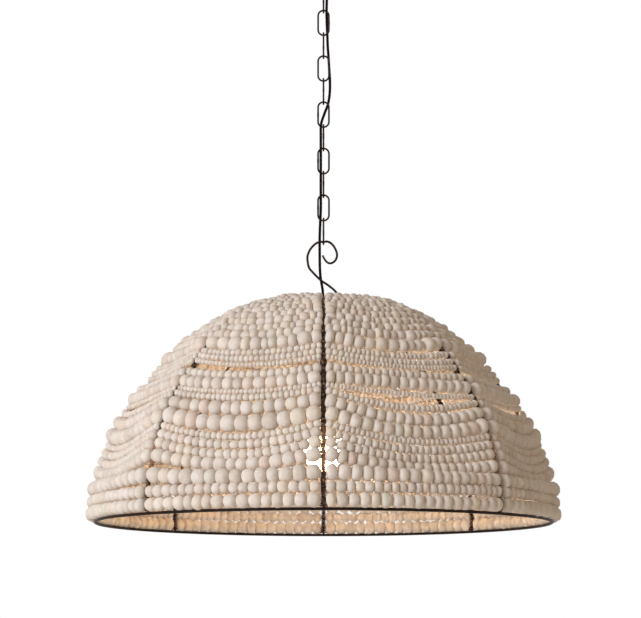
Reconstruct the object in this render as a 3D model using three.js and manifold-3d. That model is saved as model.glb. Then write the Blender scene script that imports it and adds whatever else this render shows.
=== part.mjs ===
// Beaded dome pendant on a link chain, in millimetres, +Z up.
// The origin is the middle of the ceiling strap's top face, where the lamp meets the ceiling.
// The first rib stands at the front, towards -Y.
import * as THREE from 'three';
import { mergeVertices } from 'three/addons/utils/BufferGeometryUtils.js';
import Module from 'manifold-3d';

const wasm = await Module();
wasm.setup();

// Clearances and one overrun for every cut.
const clearance = 0.3;
const cord_clearance = 0.45;
const overrun = 2;

// Ceiling fitting.
const canopy_radius = 63.5;
const canopy_depth = 26;
const canopy_wall = 1.2;
const canopy_flat_radius = 27;
const strap_length = 105;
const strap_width = 20;
const strap_thickness = 2.5;
const strap_boss_radius = 9;
const strap_boss_depth = 8;
const stud_radius = 4.8;
const lock_nut_radius = 9;
const lock_nut_height = 5;
const collar_radius = 8.5;
const collar_height = 10;
const loop_radius = 10;
const loop_wire = 4.4;
const relief_across = 6;
const relief_behind = 13.5;
const relief_length = 20;
const relief_neck_radius = 4.2;
const relief_flange_radius = 5.8;
const relief_flange_height = 2;
const relief_tip_radius = 3.1;
const strap_screw_radius = 2;
const strap_screw_head_radius = 3.8;
const strap_screw_head_height = 2.2;
const strap_screw_inset = 11.5;

// Chain and cord.
const link_count = 11;
const link_length = 41.5;
const link_width = 19;
const link_wire = 2.8;
const cord_diameter = 4;

// Hook: the dip where the last link sits is its own zero.
const hook_rod = 3.5;
const hook_height = 95;

// Wire frame of the shade.
const ring_radius = 327;
const dome_height = 318;
const ring_wire = 4.6;
const rib_wire = 4.2;
const rib_count = 8;
const crown_ring_radius = 28;
const crown_wire = 4.6;

// Rib outline as shares of the ring's radius and of the dome's height, from the ring up to the crown.
const rib_out_shares = [1, 1.006, 0.997, 0.967, 0.925, 0.872, 0.79, 0.69, 0.6, 0.505, 0.425, 0.33, 0.22];
const rib_up_shares = [
  0, 0.062, 0.144, 0.268, 0.382, 0.49, 0.609, 0.732, 0.815, 0.884, 0.927, 0.964, 0.987,
];

// Beads, by the names that a stringer would use for their diameters.
const seed_bead = 6.5;
const pea_bead = 8.5;
const small_bead = 11.5;
const medium_bead = 13.5;
const large_bead = 16;
const broad_bead = 17.5;
const great_bead = 19.5;
const bead_length_share = 0.8;
const strand_wire = 1.6;
const lashing_room = 4.9;

// Room that the rows leave below the crown ring. What the beads don't fill of a rib is shared out as the
// gaps between the rows, and the strands' swag and slip grow with it.
const crown_room = 12;
const swag_to_gap_share = 2.1;
const slip_to_gap_share = 0.67;

// One line a row, from the rim up: bead, gap below, swag in a taut panel, swag in a slack one, slip at
// the ribs, and how far the row hangs in along the chord between its ribs instead of following the round.
function beadRow(bead, gap_share, taut_share, slack_share, slip_share, chord_share) {
  return { bead, gap_share, taut_share, slack_share, slip_share, chord_share };
}
const rows = [
  beadRow(broad_bead, 0.05, 0.02, 0.02, 0, 0.04),
  beadRow(medium_bead, 0.08, 0.02, 0.02, 0, 0.1),
  beadRow(broad_bead, 0.31, 0.275, 0.1, 0.45, 0.1),
  beadRow(large_bead, 0.66, 0.66, 0.53, 1, 0.7),
  beadRow(medium_bead, 0.2, 0.8, 0.69, 1, 0.7),
  beadRow(small_bead, 0.04, 0.77, 0.72, 1, 0.7),
  beadRow(pea_bead, 0.15, 0.79, 0.73, 1, 0.7),
  beadRow(great_bead, 0.15, 0.67, 0.82, 1, 0.65),
  beadRow(large_bead, 0.18, 0.56, 0.92, 1, 0.6),
  beadRow(pea_bead, 0.22, 0.5, 0.8, 1, 0.5),
  beadRow(seed_bead, 0.12, 0.47, 0.29, 1, 0.5),
  beadRow(large_bead, 0.13, 0.43, 0.1, 0.8, 0.5),
  beadRow(small_bead, 0.31, 0.49, 0.17, 0.8, 0.55),
  beadRow(seed_bead, 1.04, 0.58, 0.4, 0.9, 0.6),
  beadRow(pea_bead, 0.23, 0.51, 0.49, 0.8, 0.6),
  beadRow(pea_bead, 0.21, 0.43, 0.53, 0.4, 0.6),
  beadRow(broad_bead, 0.55, 0.48, 0.56, 0.1, 0.6),
  beadRow(medium_bead, 0.24, 0.42, 0.4, 0.1, 0.6),
  beadRow(medium_bead, 0.24, 0.38, 0.38, 0.1, 0.6),
  beadRow(medium_bead, 0.24, 0.34, 0.35, 0.1, 0.6),
  beadRow(medium_bead, 0.24, 0.3, 0.32, 0.1, 0.6),
  beadRow(medium_bead, 0.24, 0.26, 0.27, 0, 0.6),
  beadRow(medium_bead, 0.24, 0.22, 0.22, 0, 0.6),
  beadRow(medium_bead, 0.24, 0.18, 0.18, 0, 0.6),
  beadRow(medium_bead, 0.24, 0.13, 0.13, 0, 0.6),
  beadRow(medium_bead, 0.24, 0.09, 0.09, 0, 0.6),
  beadRow(medium_bead, 0.24, 0.06, 0.06, 0, 0.6),
  beadRow(medium_bead, 0.24, 0.04, 0.04, 0, 0.6),
  beadRow(medium_bead, 0.24, 0.02, 0.02, 0, 0.6),
];
const rows_per_strand = [2, 2, 3, 3, 3, 4, 4, 4, 4];
// The lowest rows show each bead, and the rows from the crown part up run straight from rib to rib.
const beaded_rows = 1;
const first_straight_row = 20;

// The panel to the right of each rib, going round from the rib nearest the camera: its slack, and how
// far the rows have slipped up or down that rib.
const panel_slack_shares = [1, 0.55, 0.3, 0.6, 0.45, 0.35, 0.5, 0];
const rib_slip_shares = [0, -1.1, 0.2, -0.5, 0.2, -0.4, 0.3, 1];

// Lamp holder and bulb.
const crown_strap_width = 14;
const crown_strap_thickness = 2.5;
const stem_radius = 5;
const stem_bore = 3.5;
const stem_length = 116;
const stem_above_strap = 6.5;
const stem_nut_radius = 9;
const stem_nut_height = 5;
const stem_in_cap = 9;
const holder_cap_radius = 20;
const holder_cap_height = 20;
const holder_cap_wall = 1.5;
const holder_cap_neck_radius = 9;
const holder_cap_shoulder = 6;
const holder_body_radius = 18.5;
const holder_body_height = 40;
const holder_floor = 7;
const thread_radius = 13.35;
const thread_wall = 0.6;
const thread_length = 24;
const bulb_base_radius = 13;
const bulb_base_length = 26;
const bulb_contact_radius = 5;
const bulb_contact_height = 2.5;
const bulb_neck_radius = 13.5;
const bulb_neck_length = 16;
const bulb_radius = 30;
const bulb_length = 82;

// Facets: how finely the round pieces are cut.
const wire_sides = 6;
const cord_sides = 6;
const bead_sides = 4;
const turned_sides = 24;
const ring_sides = 40;
const nut_sides = 12;
const hex_sides = 6;

const iron = { color: 0x2a1d18, roughness: 0.55, metalness: 0.85 };
const canopy_iron = { color: 0x2e211b, roughness: 0.5, metalness: 0.85 };
const cord_cloth = { color: 0x241915, roughness: 0.9, metalness: 0 };
const bead_clay = { color: 0xddd2c8, roughness: 0.85, metalness: 0 };
const porcelain = { color: 0xe9e4da, roughness: 0.3, metalness: 0 };
const brass = { color: 0xb08d4a, roughness: 0.35, metalness: 1 };
const bulb_glass_finish = { color: 0xfff3dc, roughness: 0.15, metalness: 0 };
const black_plastic = { color: 0x1b1a19, roughness: 0.6, metalness: 0 };

const lamp = new THREE.Group();

function addPiece(name, geometry, finish) {
  const piece = new THREE.Mesh(geometry, new THREE.MeshStandardMaterial(finish));
  piece.name = name;
  lamp.add(piece);
  return piece;
}

// Booleans.
function toSolid(geometry) {
  const plain = geometry.clone();
  plain.deleteAttribute('normal');
  plain.deleteAttribute('uv');
  const merged = mergeVertices(plain);
  return new wasm.Manifold(new wasm.Mesh({
    numProp: 3,
    vertProperties: new Float32Array(merged.attributes.position.array),
    triVerts: new Uint32Array(merged.index.array),
  }));
}

function toGeometry(solid) {
  const mesh = solid.getMesh();
  const geometry = new THREE.BufferGeometry();
  geometry.setAttribute('position', new THREE.BufferAttribute(new Float32Array(mesh.vertProperties), 3));
  geometry.setIndex(new THREE.BufferAttribute(new Uint32Array(mesh.triVerts), 1));
  geometry.computeVertexNormals();
  return geometry;
}

// A turned piece: the profile is a list of [radius, height] that starts and ends on the axis or closes.
function turned(profile, sides = turned_sides) {
  const points = profile.map(([r, z]) => new THREE.Vector2(r, z));
  if (THREE.ShapeUtils.area(points) < 0) points.reverse();
  const geometry = new THREE.LatheGeometry(points, sides);
  geometry.rotateX(Math.PI / 2);
  return geometry;
}

function turnedRing(profile, sides = turned_sides) {
  return turned([...profile, profile[0]], sides);
}

function placed(geometry, x, y, z) {
  return geometry.translate(x, y, z);
}

// A tube through sections: each section has a centre, a radius and two directions that span its face.
function tube(sections, sides, closed) {
  const positions = [];
  const faces = [];
  for (const { centre, radius, across, up } of sections) {
    for (let side = 0; side < sides; side += 1) {
      const turn = (2 * Math.PI * (side + 0.5)) / sides;
      const point = centre.clone()
        .addScaledVector(across, radius * Math.cos(turn))
        .addScaledVector(up, radius * Math.sin(turn));
      positions.push(point.x, point.y, point.z);
    }
  }
  const spans = closed ? sections.length : sections.length - 1;
  for (let span = 0; span < spans; span += 1) {
    const here = span * sides;
    const next = ((span + 1) % sections.length) * sides;
    for (let side = 0; side < sides; side += 1) {
      const beside = (side + 1) % sides;
      faces.push(here + side, here + beside, next + beside);
      faces.push(here + side, next + beside, next + side);
    }
  }
  if (!closed) {
    const last = (sections.length - 1) * sides;
    for (let side = 1; side < sides - 1; side += 1) {
      faces.push(0, side + 1, side);
      faces.push(last, last + side, last + side + 1);
    }
  }
  const geometry = new THREE.BufferGeometry();
  geometry.setAttribute('position', new THREE.Float32BufferAttribute(positions, 3));
  geometry.setIndex(faces);
  geometry.computeVertexNormals();
  return geometry;
}

// Sections along a list of points. Beside is a direction that is never along the path: the faces turn about it.
function sectionsAlong(points, radius, beside, closed) {
  const count = points.length;
  return points.map((centre, index) => {
    const before = points[closed ? (index + count - 1) % count : Math.max(index - 1, 0)];
    const after = points[closed ? (index + 1) % count : Math.min(index + 1, count - 1)];
    const along = after.clone().sub(before).normalize();
    const across = new THREE.Vector3().crossVectors(beside, along).normalize();
    const up = new THREE.Vector3().crossVectors(along, across);
    return { centre, radius, across, up };
  });
}

const x_axis = new THREE.Vector3(1, 0, 0);
const y_axis = new THREE.Vector3(0, 1, 0);
const z_axis = new THREE.Vector3(0, 0, 1);

// Heights down the lamp.
const canopy_bottom = -canopy_depth;
const collar_top = canopy_bottom - clearance;
const collar_bottom = collar_top - collar_height;
const loop_height = collar_bottom - loop_radius;
const loop_pivot = loop_height - loop_radius;
const wire_flat = Math.cos(Math.PI / wire_sides);
const first_seat = (loop_wire + link_wire) / 2 + clearance;
const link_seat = link_wire + clearance;
const link_reach = link_length - link_wire;
const link_pitch = link_reach - link_seat;
const first_link_pivot = loop_pivot + first_seat - link_reach;
const hook_pivot = first_link_pivot - link_pitch * (link_count - 1);
const hook_seat = hook_pivot + (link_wire + hook_rod * wire_flat) / 2 + clearance;
const crown_height = hook_seat - hook_height;
const ring_height = crown_height - dome_height;

function makeCeilingFitting() {
  const strap = new THREE.BoxGeometry(strap_length, strap_width, strap_thickness);
  placed(strap, 0, 0, -strap_thickness / 2);
  const boss_bottom = -strap_thickness - strap_boss_depth;
  const boss = turned([
    [0, -strap_thickness / 2],
    [strap_boss_radius, -strap_thickness / 2],
    [strap_boss_radius, boss_bottom],
    [0, boss_bottom],
  ], hex_sides);
  const socket_radius = stud_radius + clearance;
  const socket = turned([
    [0, -strap_thickness],
    [socket_radius, -strap_thickness],
    [socket_radius, boss_bottom - overrun],
    [0, boss_bottom - overrun],
  ]);
  let strap_solid = toSolid(strap).add(toSolid(boss)).subtract(toSolid(socket));
  const strap_screw_offset = strap_length / 2 - strap_screw_inset;
  for (const side of [-1, 1]) {
    const hole = turned([
      [0, overrun],
      [strap_screw_radius + clearance, overrun],
      [strap_screw_radius + clearance, -strap_thickness - overrun],
      [0, -strap_thickness - overrun],
    ]);
    placed(hole, side * strap_screw_offset, 0, 0);
    strap_solid = strap_solid.subtract(toSolid(hole));
  }
  addPiece('ceiling_strap', toGeometry(strap_solid), canopy_iron);

  // Canopy: a spun cup that is open to the ceiling, with holes for the stud and the strain relief.
  const shoulder = canopy_radius - canopy_flat_radius;
  const outer = new THREE.EllipseCurve(canopy_flat_radius, 0, shoulder, canopy_depth, 0, -Math.PI / 2, true);
  const inner = new THREE.EllipseCurve(
    canopy_flat_radius, 0, shoulder - canopy_wall, canopy_depth - canopy_wall, -Math.PI / 2, 0, false,
  );
  const curve_steps = 4;
  const cup = turnedRing([
    ...outer.getPoints(curve_steps).map((point) => [point.x, point.y]),
    [socket_radius, canopy_bottom],
    [socket_radius, canopy_bottom + canopy_wall],
    ...inner.getPoints(curve_steps).map((point) => [point.x, point.y]),
  ].reverse());
  const relief_hole = turned([
    [0, canopy_bottom + overrun],
    [relief_neck_radius + clearance, canopy_bottom + overrun],
    [relief_neck_radius + clearance, canopy_bottom - overrun],
    [0, canopy_bottom - overrun],
  ]);
  placed(relief_hole, relief_across, relief_behind, 0);
  addPiece('canopy', toGeometry(toSolid(cup).subtract(toSolid(relief_hole))), canopy_iron);

  const stud_bottom = collar_top - collar_height / 2;
  addPiece('canopy_stud', turned([
    [0, -strap_thickness - clearance],
    [stud_radius, -strap_thickness - clearance],
    [stud_radius, stud_bottom],
    [0, stud_bottom],
  ]), canopy_iron);

  const nut_bottom = canopy_bottom + canopy_wall + clearance;
  addPiece('canopy_lock_nut', turnedRing([
    [socket_radius, nut_bottom],
    [lock_nut_radius, nut_bottom],
    [lock_nut_radius, nut_bottom + lock_nut_height],
    [socket_radius, nut_bottom + lock_nut_height],
  ], nut_sides), canopy_iron);

  // Collar and loop in one piece: the loop stands in the XZ plane under the collar.
  const collar = turned([
    [0, collar_bottom],
    [collar_radius, collar_bottom],
    [collar_radius, collar_top],
    [socket_radius, collar_top],
    [socket_radius, stud_bottom - clearance],
    [0, stud_bottom - clearance],
  ]);
  const loop = new THREE.TorusGeometry(loop_radius, loop_wire / 2, wire_sides, turned_sides);
  loop.rotateX(Math.PI / 2);
  placed(loop, 0, 0, loop_height);
  addPiece('canopy_loop', toGeometry(toSolid(collar).add(toSolid(loop))), canopy_iron);

  // Strain relief: a flange inside the canopy, a neck through it and a taper down round the cord.
  const cord_hole = cord_diameter / 2 + cord_clearance;
  const relief = turnedRing([
    [cord_hole, canopy_bottom - relief_length],
    [relief_tip_radius, canopy_bottom - relief_length],
    [relief_flange_radius, canopy_bottom - clearance - relief_flange_height],
    [relief_flange_radius, canopy_bottom - clearance],
    [relief_neck_radius, canopy_bottom - clearance],
    [relief_neck_radius, canopy_bottom + canopy_wall + clearance],
    [relief_flange_radius, canopy_bottom + canopy_wall + clearance],
    [relief_flange_radius, canopy_bottom + canopy_wall + clearance + relief_flange_height],
    [cord_hole, canopy_bottom + canopy_wall + clearance + relief_flange_height],
  ], nut_sides);
  placed(relief, relief_across, relief_behind, 0);
  addPiece('cord_strain_relief', relief, black_plastic);

  // Strap screws: the heads sit under the strap, and the shanks end level with its top face.
  ['left', 'right'].forEach((side, index) => {
    const head_top = -strap_thickness - clearance;
    const screw = turned([
      [0, head_top - strap_screw_head_height],
      [strap_screw_head_radius, head_top - strap_screw_head_height],
      [strap_screw_head_radius, head_top],
      [strap_screw_radius, head_top],
      [strap_screw_radius, 0],
      [0, 0],
    ], nut_sides);
    placed(screw, index === 0 ? -strap_screw_offset : strap_screw_offset, 0, 0);
    addPiece(`strap_screw_${side}`, screw, canopy_iron);
  });
}

// A link is a wire round a straight-sided oval: two half circles joined by two straight legs.
function linkPoints(face_on) {
  const bend = (link_width - link_wire) / 2;
  const leg = (link_length - link_width) / 2;
  const bend_steps = 6;
  const points = [];
  for (const end of [1, -1]) {
    for (let step = 0; step <= bend_steps; step += 1) {
      const turn = (Math.PI * step) / bend_steps;
      const out = bend * Math.cos(turn) * end;
      const height = (leg + bend * Math.sin(turn)) * end;
      points.push(face_on ? new THREE.Vector3(out, 0, height) : new THREE.Vector3(0, out, height));
    }
  }
  return points;
}

function makeChain() {
  for (let index = 0; index < link_count; index += 1) {
    const face_on = index % 2 === 1;
    const bottom = first_link_pivot - link_pitch * index;
    const middle = bottom + link_reach / 2;
    const beside = face_on ? y_axis : x_axis;
    const points = linkPoints(face_on).map((point) => point.setZ(point.z + middle));
    const link = tube(sectionsAlong(points, link_wire / 2, beside, true), wire_sides, true);
    addPiece(`chain_link_${String(index + 1).padStart(2, '0')}`, link, iron);
  }
}

// Route of the cord down from the strain relief, points chosen by hand: beside and behind the upper
// links, through the sixth, down their other side, behind the hook and into the stem.
// The points stand by turns at a joint of the chain and at the middle of a link.
const cord_route = [
  [6, 13.5, -16], [6, 13.5, -46], [5.8, 12, -55], [5.3, 8.2, -63.5],
  [5, 5, -71.6], [4.6, 4.4, -90], [5, 4.2, -107], [5.8, 4.2, -126],
  [6.4, 4.2, -142.7], [7.6, 4.2, -161], [8.6, 4.2, -178.2], [9.6, 4.2, -196],
  [9.4, 4.4, -213.9], [6.8, 4.4, -232], [0.8, 0, -250], [-3.6, -4, -266],
  [-4, -4.4, -285.1], [-4, -4.2, -303], [-4, -4.2, -320.7], [-4, -4.2, -338],
  [-4, -4.2, -356.3], [-4, -4.1, -374], [-4, 0, -391.9], [-4.7, 4.2, -410],
  [-5.4, 5, -427.5], [-5.7, 5, -444], [-5.6, 5, -462], [-5.4, 4.9, -480],
  [-4.6, 4.7, -494], [-3.1, 3.8, -504], [-1.5, 1.7, -514], [-0.6, 0.4, -524],
  [0, 0, -540], [0, 0, -590], [0, 0, -642],
];
// First and last point of each stretch in the route.
const cord_stretches = [
  [0, 4], [4, 6], [6, 8], [8, 10], [10, 12], [12, 14],
  [14, 16], [16, 18], [18, 20], [20, 22], [22, 24], [24, 34],
];

function makeCord() {
  const route = new THREE.CatmullRomCurve3(cord_route.map((point) => new THREE.Vector3(...point)));
  const last = cord_route.length - 1;
  const steps_a_point = 2;
  cord_stretches.forEach(([from, to], index) => {
    const steps = (to - from) * steps_a_point;
    const sections = [];
    for (let step = 0; step <= steps; step += 1) {
      const at = (from + step / steps_a_point) / last;
      const along = route.getTangent(at);
      const pull_in = step === 0 ? clearance / 2 : step === steps ? -clearance / 2 : 0;
      const across = new THREE.Vector3().crossVectors(y_axis, along).normalize();
      const up = new THREE.Vector3().crossVectors(along, across);
      const centre = route.getPoint(at).addScaledVector(along, pull_in);
      sections.push({ centre, radius: cord_diameter / 2, across, up });
    }
    const stretch = tube(sections, cord_sides, false);
    addPiece(`cord_stretch_${String(index + 1).padStart(2, '0')}`, stretch, cord_cloth);
  });
  console.log(`cord length ${route.getLength().toFixed(0)} mm`);
}

// The pigtail hook lies in the XZ plane. Each point is [across, up] as shares of the hook's height,
// from its foot on the crown ring, up round the left, over the dip and round the curl to its cut end.
const hook_shares = [
  [0.277, 0.025], [0.248, 0.111], [0.189, 0.217], [0.076, 0.316], [-0.04, 0.396], [-0.157, 0.512],
  [-0.224, 0.597], [-0.246, 0.696], [-0.246, 0.785], [-0.206, 0.884], [-0.13, 0.969], [-0.054, 1.004],
  [0, 1], [0.054, 1.009], [0.121, 0.978], [0.183, 0.893], [0.21, 0.794], [0.179, 0.705],
  [0.107, 0.664], [0.04, 0.696], [-0.013, 0.785],
];

function makeHook() {
  const path = new THREE.CatmullRomCurve3(hook_shares.map(
    ([across, up]) => new THREE.Vector3(across * hook_height, 0, crown_height + up * hook_height),
  ));
  const hook_steps = 38;
  const sections = sectionsAlong(path.getPoints(hook_steps), hook_rod / 2, y_axis, false);
  addPiece('pigtail_hook', tube(sections, wire_sides, false), iron);
}

// Rib outline and the place of every row on it.
const rib_outline = new THREE.SplineCurve([
  ...rib_out_shares.map((out, index) => new THREE.Vector2(
    out * ring_radius, rib_up_shares[index] * dome_height,
  )),
  new THREE.Vector2(crown_ring_radius, dome_height),
]);
const outline_steps = 400;
rib_outline.arcLengthDivisions = outline_steps;
const rib_length = rib_outline.getLength();

// The place on the rib at a distance along it from the ring: radius, height and outward direction.
function ribPlace(distance) {
  const share = THREE.MathUtils.clamp(distance / rib_length, 0, 1);
  const at = rib_outline.getPointAt(share);
  const along = rib_outline.getTangentAt(share);
  return { radius: at.x, height: ring_height + at.y, out: along.y, rise: -along.x };
}

function ribAzimuth(rib) {
  return -Math.PI / 2 + (2 * Math.PI * rib) / rib_count;
}

function pointAround(azimuth, radius, height) {
  return new THREE.Vector3(radius * Math.cos(azimuth), radius * Math.sin(azimuth), height);
}

function makeFrame() {
  const ring = new THREE.TorusGeometry(ring_radius, ring_wire / 2, wire_sides, ring_sides);
  placed(ring, 0, 0, ring_height);
  addPiece('rim_ring', ring, iron);
  const crown = new THREE.TorusGeometry(crown_ring_radius, crown_wire / 2, wire_sides, turned_sides);
  placed(crown, 0, 0, crown_height);
  addPiece('crown_ring', crown, iron);

  const foot = (ring_wire / 2) * wire_flat + clearance;
  const head = rib_length - crown_wire / 2 - clearance;
  const rib_steps = 15;
  for (let rib = 0; rib < rib_count; rib += 1) {
    const azimuth = ribAzimuth(rib);
    const points = [];
    for (let step = 0; step <= rib_steps; step += 1) {
      const place = ribPlace(foot + ((head - foot) * step) / rib_steps);
      points.push(pointAround(azimuth, place.radius, place.height));
    }
    const beside = pointAround(azimuth + Math.PI / 2, 1, 0);
    const wire = tube(sectionsAlong(points, rib_wire / 2, beside, false), wire_sides, false);
    addPiece(`rib_${rib + 1}`, wire, iron);
  }
}

// What the beads leave of a rib between the ring and the crown, and the widest gap that follows.
const bead_stack = rows.reduce((sum, row) => sum + row.bead, 0);
const gap_stack_shares = rows.reduce((sum, row) => sum + row.gap_share, 0);
const widest_gap = (rib_length - crown_room - ring_wire / 2 - bead_stack) / gap_stack_shares;
const deepest_swag = widest_gap * swag_to_gap_share;
const rib_slip = widest_gap * slip_to_gap_share;

// Distance of each row's middle along the rib, from the gaps and the bead sizes below it.
function rowDistances() {
  let edge = ring_wire / 2;
  return rows.map((row) => {
    const middle = edge + row.gap_share * widest_gap + row.bead / 2;
    edge = middle + row.bead / 2;
    return middle;
  });
}

// A row at a share of the way across a panel: where its middle runs, with the swag, the slip at its two
// ribs and the pull towards the chord.
const pull_power = 1.5;
function rowPlace(row, distance, panel, share) {
  const next = (panel + 1) % rib_count;
  const slip_here = THREE.MathUtils.lerp(rib_slip_shares[panel], rib_slip_shares[next], share);
  const slip = slip_here * row.slip_share * rib_slip;
  const slack = panel_slack_shares[panel];
  const swag = THREE.MathUtils.lerp(row.taut_share, row.slack_share, slack) * deepest_swag;
  const belly = 4 * share * (1 - share);
  const place = ribPlace(distance + slip - swag * belly);
  const half_panel = Math.PI / rib_count;
  const pull = row.chord_share * (1 - Math.cos(half_panel)) * belly ** pull_power;
  const radius = place.radius * (1 - pull);
  const azimuth = ribAzimuth(panel) + 2 * half_panel * share;
  return { ...place, radius, azimuth };
}

// One section of a strand. All of it stands off the frame by the room that its wire needs on a rib.
const strand_lift = rib_wire / 2 + strand_wire / 2 + clearance;
function strandSection(row, distance, panel, share, radius) {
  const place = rowPlace(row, distance, panel, share);
  const outward = pointAround(place.azimuth, place.out, 0).setZ(place.rise);
  const centre = pointAround(place.azimuth, place.radius, place.height)
    .addScaledVector(outward, strand_lift);
  const tangent = pointAround(place.azimuth + Math.PI / 2, 1, 0);
  const up = new THREE.Vector3().crossVectors(tangent, outward);
  return { centre, radius, across: outward, up };
}

// A row starts and ends at the rear rib. It swells to the beads in every panel and thins to bare wire
// where it crosses a rib. Beaded rows also narrow between every two beads.
const swell_share = 1.18;
const beaded_swell_share = 1.38;
const neck_share = 0.55;
const plain_middles = [0.5];
function rowSections(index, distances) {
  const sections = [];
  const row = rows[index];
  const distance = distances[index];
  const bare = strand_wire / 2;
  const beaded = index < beaded_rows;
  const fat = (row.bead / 2) * (beaded ? beaded_swell_share : swell_share);
  for (let step = 0; step < rib_count; step += 1) {
    const panel = (rib_count / 2 + step) % rib_count;
    const width = (ribPlace(distance).radius * 2 * Math.PI) / rib_count;
    const bare_share = (lashing_room - strand_wire) / width;
    const bead_share = lashing_room / width;
    sections.push(strandSection(row, distance, panel, bare_share, bare));
    if (beaded) {
      const room = 1 - 2 * bead_share;
      const count = Math.round((room * width) / (row.bead * bead_length_share));
      for (let bead = 0; bead < count; bead += 1) {
        const middle = bead_share + (room * (bead + 0.5)) / count;
        const end = bead_share + (room * (bead + 1)) / count;
        sections.push(strandSection(row, distance, panel, middle, fat));
        if (bead < count - 1) {
          sections.push(strandSection(row, distance, panel, end, fat * neck_share));
        }
      }
    } else {
      const middles = index < first_straight_row ? plain_middles : [];
      [bead_share, ...middles, 1 - bead_share].forEach((share) => {
        sections.push(strandSection(row, distance, panel, share, fat));
      });
    }
    sections.push(strandSection(row, distance, panel, 1 - bare_share, bare));
  }
  return sections;
}

// A strand is one unbroken wire that winds round the ribs and climbs a row each time it passes the rear.
function makeStrands() {
  const distances = rowDistances();
  let first_row = 0;
  rows_per_strand.forEach((row_count, index) => {
    const sections = [];
    for (let row = first_row; row < first_row + row_count; row += 1) {
      sections.push(...rowSections(row, distances));
    }
    addPiece(`bead_strand_${index + 1}`, tube(sections, bead_sides, false), bead_clay);
    first_row += row_count;
  });

  // Least gap between the rows, each taken as a solid of its own, printed with the row that has it.
  const solids = rows.map((row, index) => toSolid(tube(rowSections(index, distances), bead_sides, false)));
  const gaps = [];
  solids.forEach((solid, row) => {
    solids.slice(row + 1, row + 3).forEach((above, step) => {
      gaps.push({ rows: `${row + 1} and ${row + step + 2}`, gap: solid.minGap(above, great_bead) });
    });
  });
  gaps.sort((one, other) => one.gap - other.gap);
  gaps.slice(0, rib_count).forEach(({ rows: pair, gap }) => {
    console.log(`rows ${pair}: least gap ${gap.toFixed(2)} mm`);
  });
}

function makeLampHolder() {
  // Crown strap: a flat bar across the inside of the crown ring, with a hole for the stem.
  const half = crown_ring_radius - crown_wire / 2 - clearance;
  const bar = toSolid(placed(
    new THREE.BoxGeometry(2 * half, crown_strap_width, crown_strap_thickness), 0, 0, crown_height,
  ));
  const disc = toSolid(turned([
    [0, crown_height - overrun],
    [half, crown_height - overrun],
    [half, crown_height + overrun],
    [0, crown_height + overrun],
  ]));
  const hole = toSolid(turned([
    [0, crown_height - overrun],
    [stem_radius + clearance, crown_height - overrun],
    [stem_radius + clearance, crown_height + overrun],
    [0, crown_height + overrun],
  ]));
  addPiece('crown_strap', toGeometry(bar.intersect(disc).subtract(hole)), iron);

  const strap_top = crown_height + crown_strap_thickness / 2;
  const stem_top = strap_top + stem_above_strap;
  const stem_bottom = stem_top - stem_length;
  addPiece('stem_pipe', turnedRing([
    [stem_bore, stem_bottom],
    [stem_radius, stem_bottom],
    [stem_radius, stem_top],
    [stem_bore, stem_top],
  ]), iron);
  const nut_bottom = strap_top + clearance;
  addPiece('stem_nut', turnedRing([
    [stem_radius + clearance, nut_bottom],
    [stem_nut_radius, nut_bottom],
    [stem_nut_radius, nut_bottom + stem_nut_height],
    [stem_radius + clearance, nut_bottom + stem_nut_height],
  ], nut_sides), iron);

  // Holder cap: a turned cover with a neck that takes the stem.
  const cap_top = stem_bottom + stem_in_cap;
  const cap_bottom = cap_top - holder_cap_height;
  const cap_turn = cap_top - holder_cap_shoulder;
  addPiece('holder_cap', turnedRing([
    [holder_cap_radius, cap_bottom],
    [holder_cap_radius, cap_turn - holder_cap_shoulder],
    [holder_cap_neck_radius, cap_turn],
    [holder_cap_neck_radius, cap_top],
    [stem_radius + clearance, cap_top],
    [stem_radius + clearance, cap_turn - holder_cap_wall],
    [holder_cap_radius - holder_cap_wall, cap_turn - holder_cap_shoulder - holder_cap_wall],
    [holder_cap_radius - holder_cap_wall, cap_bottom],
  ]), black_plastic);

  // Holder body: porcelain, open below for the bulb's base.
  const body_top = cap_bottom - clearance;
  const body_bottom = body_top - holder_body_height;
  const body_bore = thread_radius + thread_wall + clearance;
  addPiece('holder_body', turned([
    [0, body_top],
    [holder_body_radius, body_top],
    [holder_body_radius, body_bottom],
    [body_bore, body_bottom],
    [body_bore, body_top - holder_floor],
    [0, body_top - holder_floor],
  ]), porcelain);
  const thread_top = body_top - holder_floor - clearance;
  addPiece('holder_thread', turnedRing([
    [thread_radius, thread_top - thread_length],
    [thread_radius + thread_wall, thread_top - thread_length],
    [thread_radius + thread_wall, thread_top],
    [thread_radius, thread_top],
  ]), brass);

  // Bulb: the base screws up into the thread, and the glass hangs under it.
  const base_bottom = body_bottom - clearance;
  const base_top = base_bottom + bulb_base_length;
  addPiece('bulb_base', turned([
    [0, base_top + bulb_contact_height],
    [bulb_contact_radius, base_top + bulb_contact_height],
    [bulb_base_radius, base_top],
    [bulb_base_radius, base_bottom],
    [0, base_bottom],
  ]), brass);
  const glass_top = base_bottom - clearance;
  const glass_middle = glass_top - bulb_length + bulb_radius;
  const neck_bottom = glass_top - bulb_neck_length;
  const round_start = 0.3;
  const round_steps = 6;
  const round = new THREE.EllipseCurve(
    0, glass_middle, bulb_radius, bulb_radius, round_start * Math.PI, -Math.PI / 2, true,
  );
  addPiece('bulb_glass', turned([
    [0, glass_top],
    [bulb_neck_radius, glass_top],
    [bulb_neck_radius, neck_bottom],
    ...round.getPoints(round_steps).map((point) => [Math.max(point.x, 0), point.y]),
  ]), bulb_glass_finish);
}

makeCeilingFitting();
makeChain();
makeCord();
makeHook();
makeFrame();
makeStrands();
makeLampHolder();

export default lamp;
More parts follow.
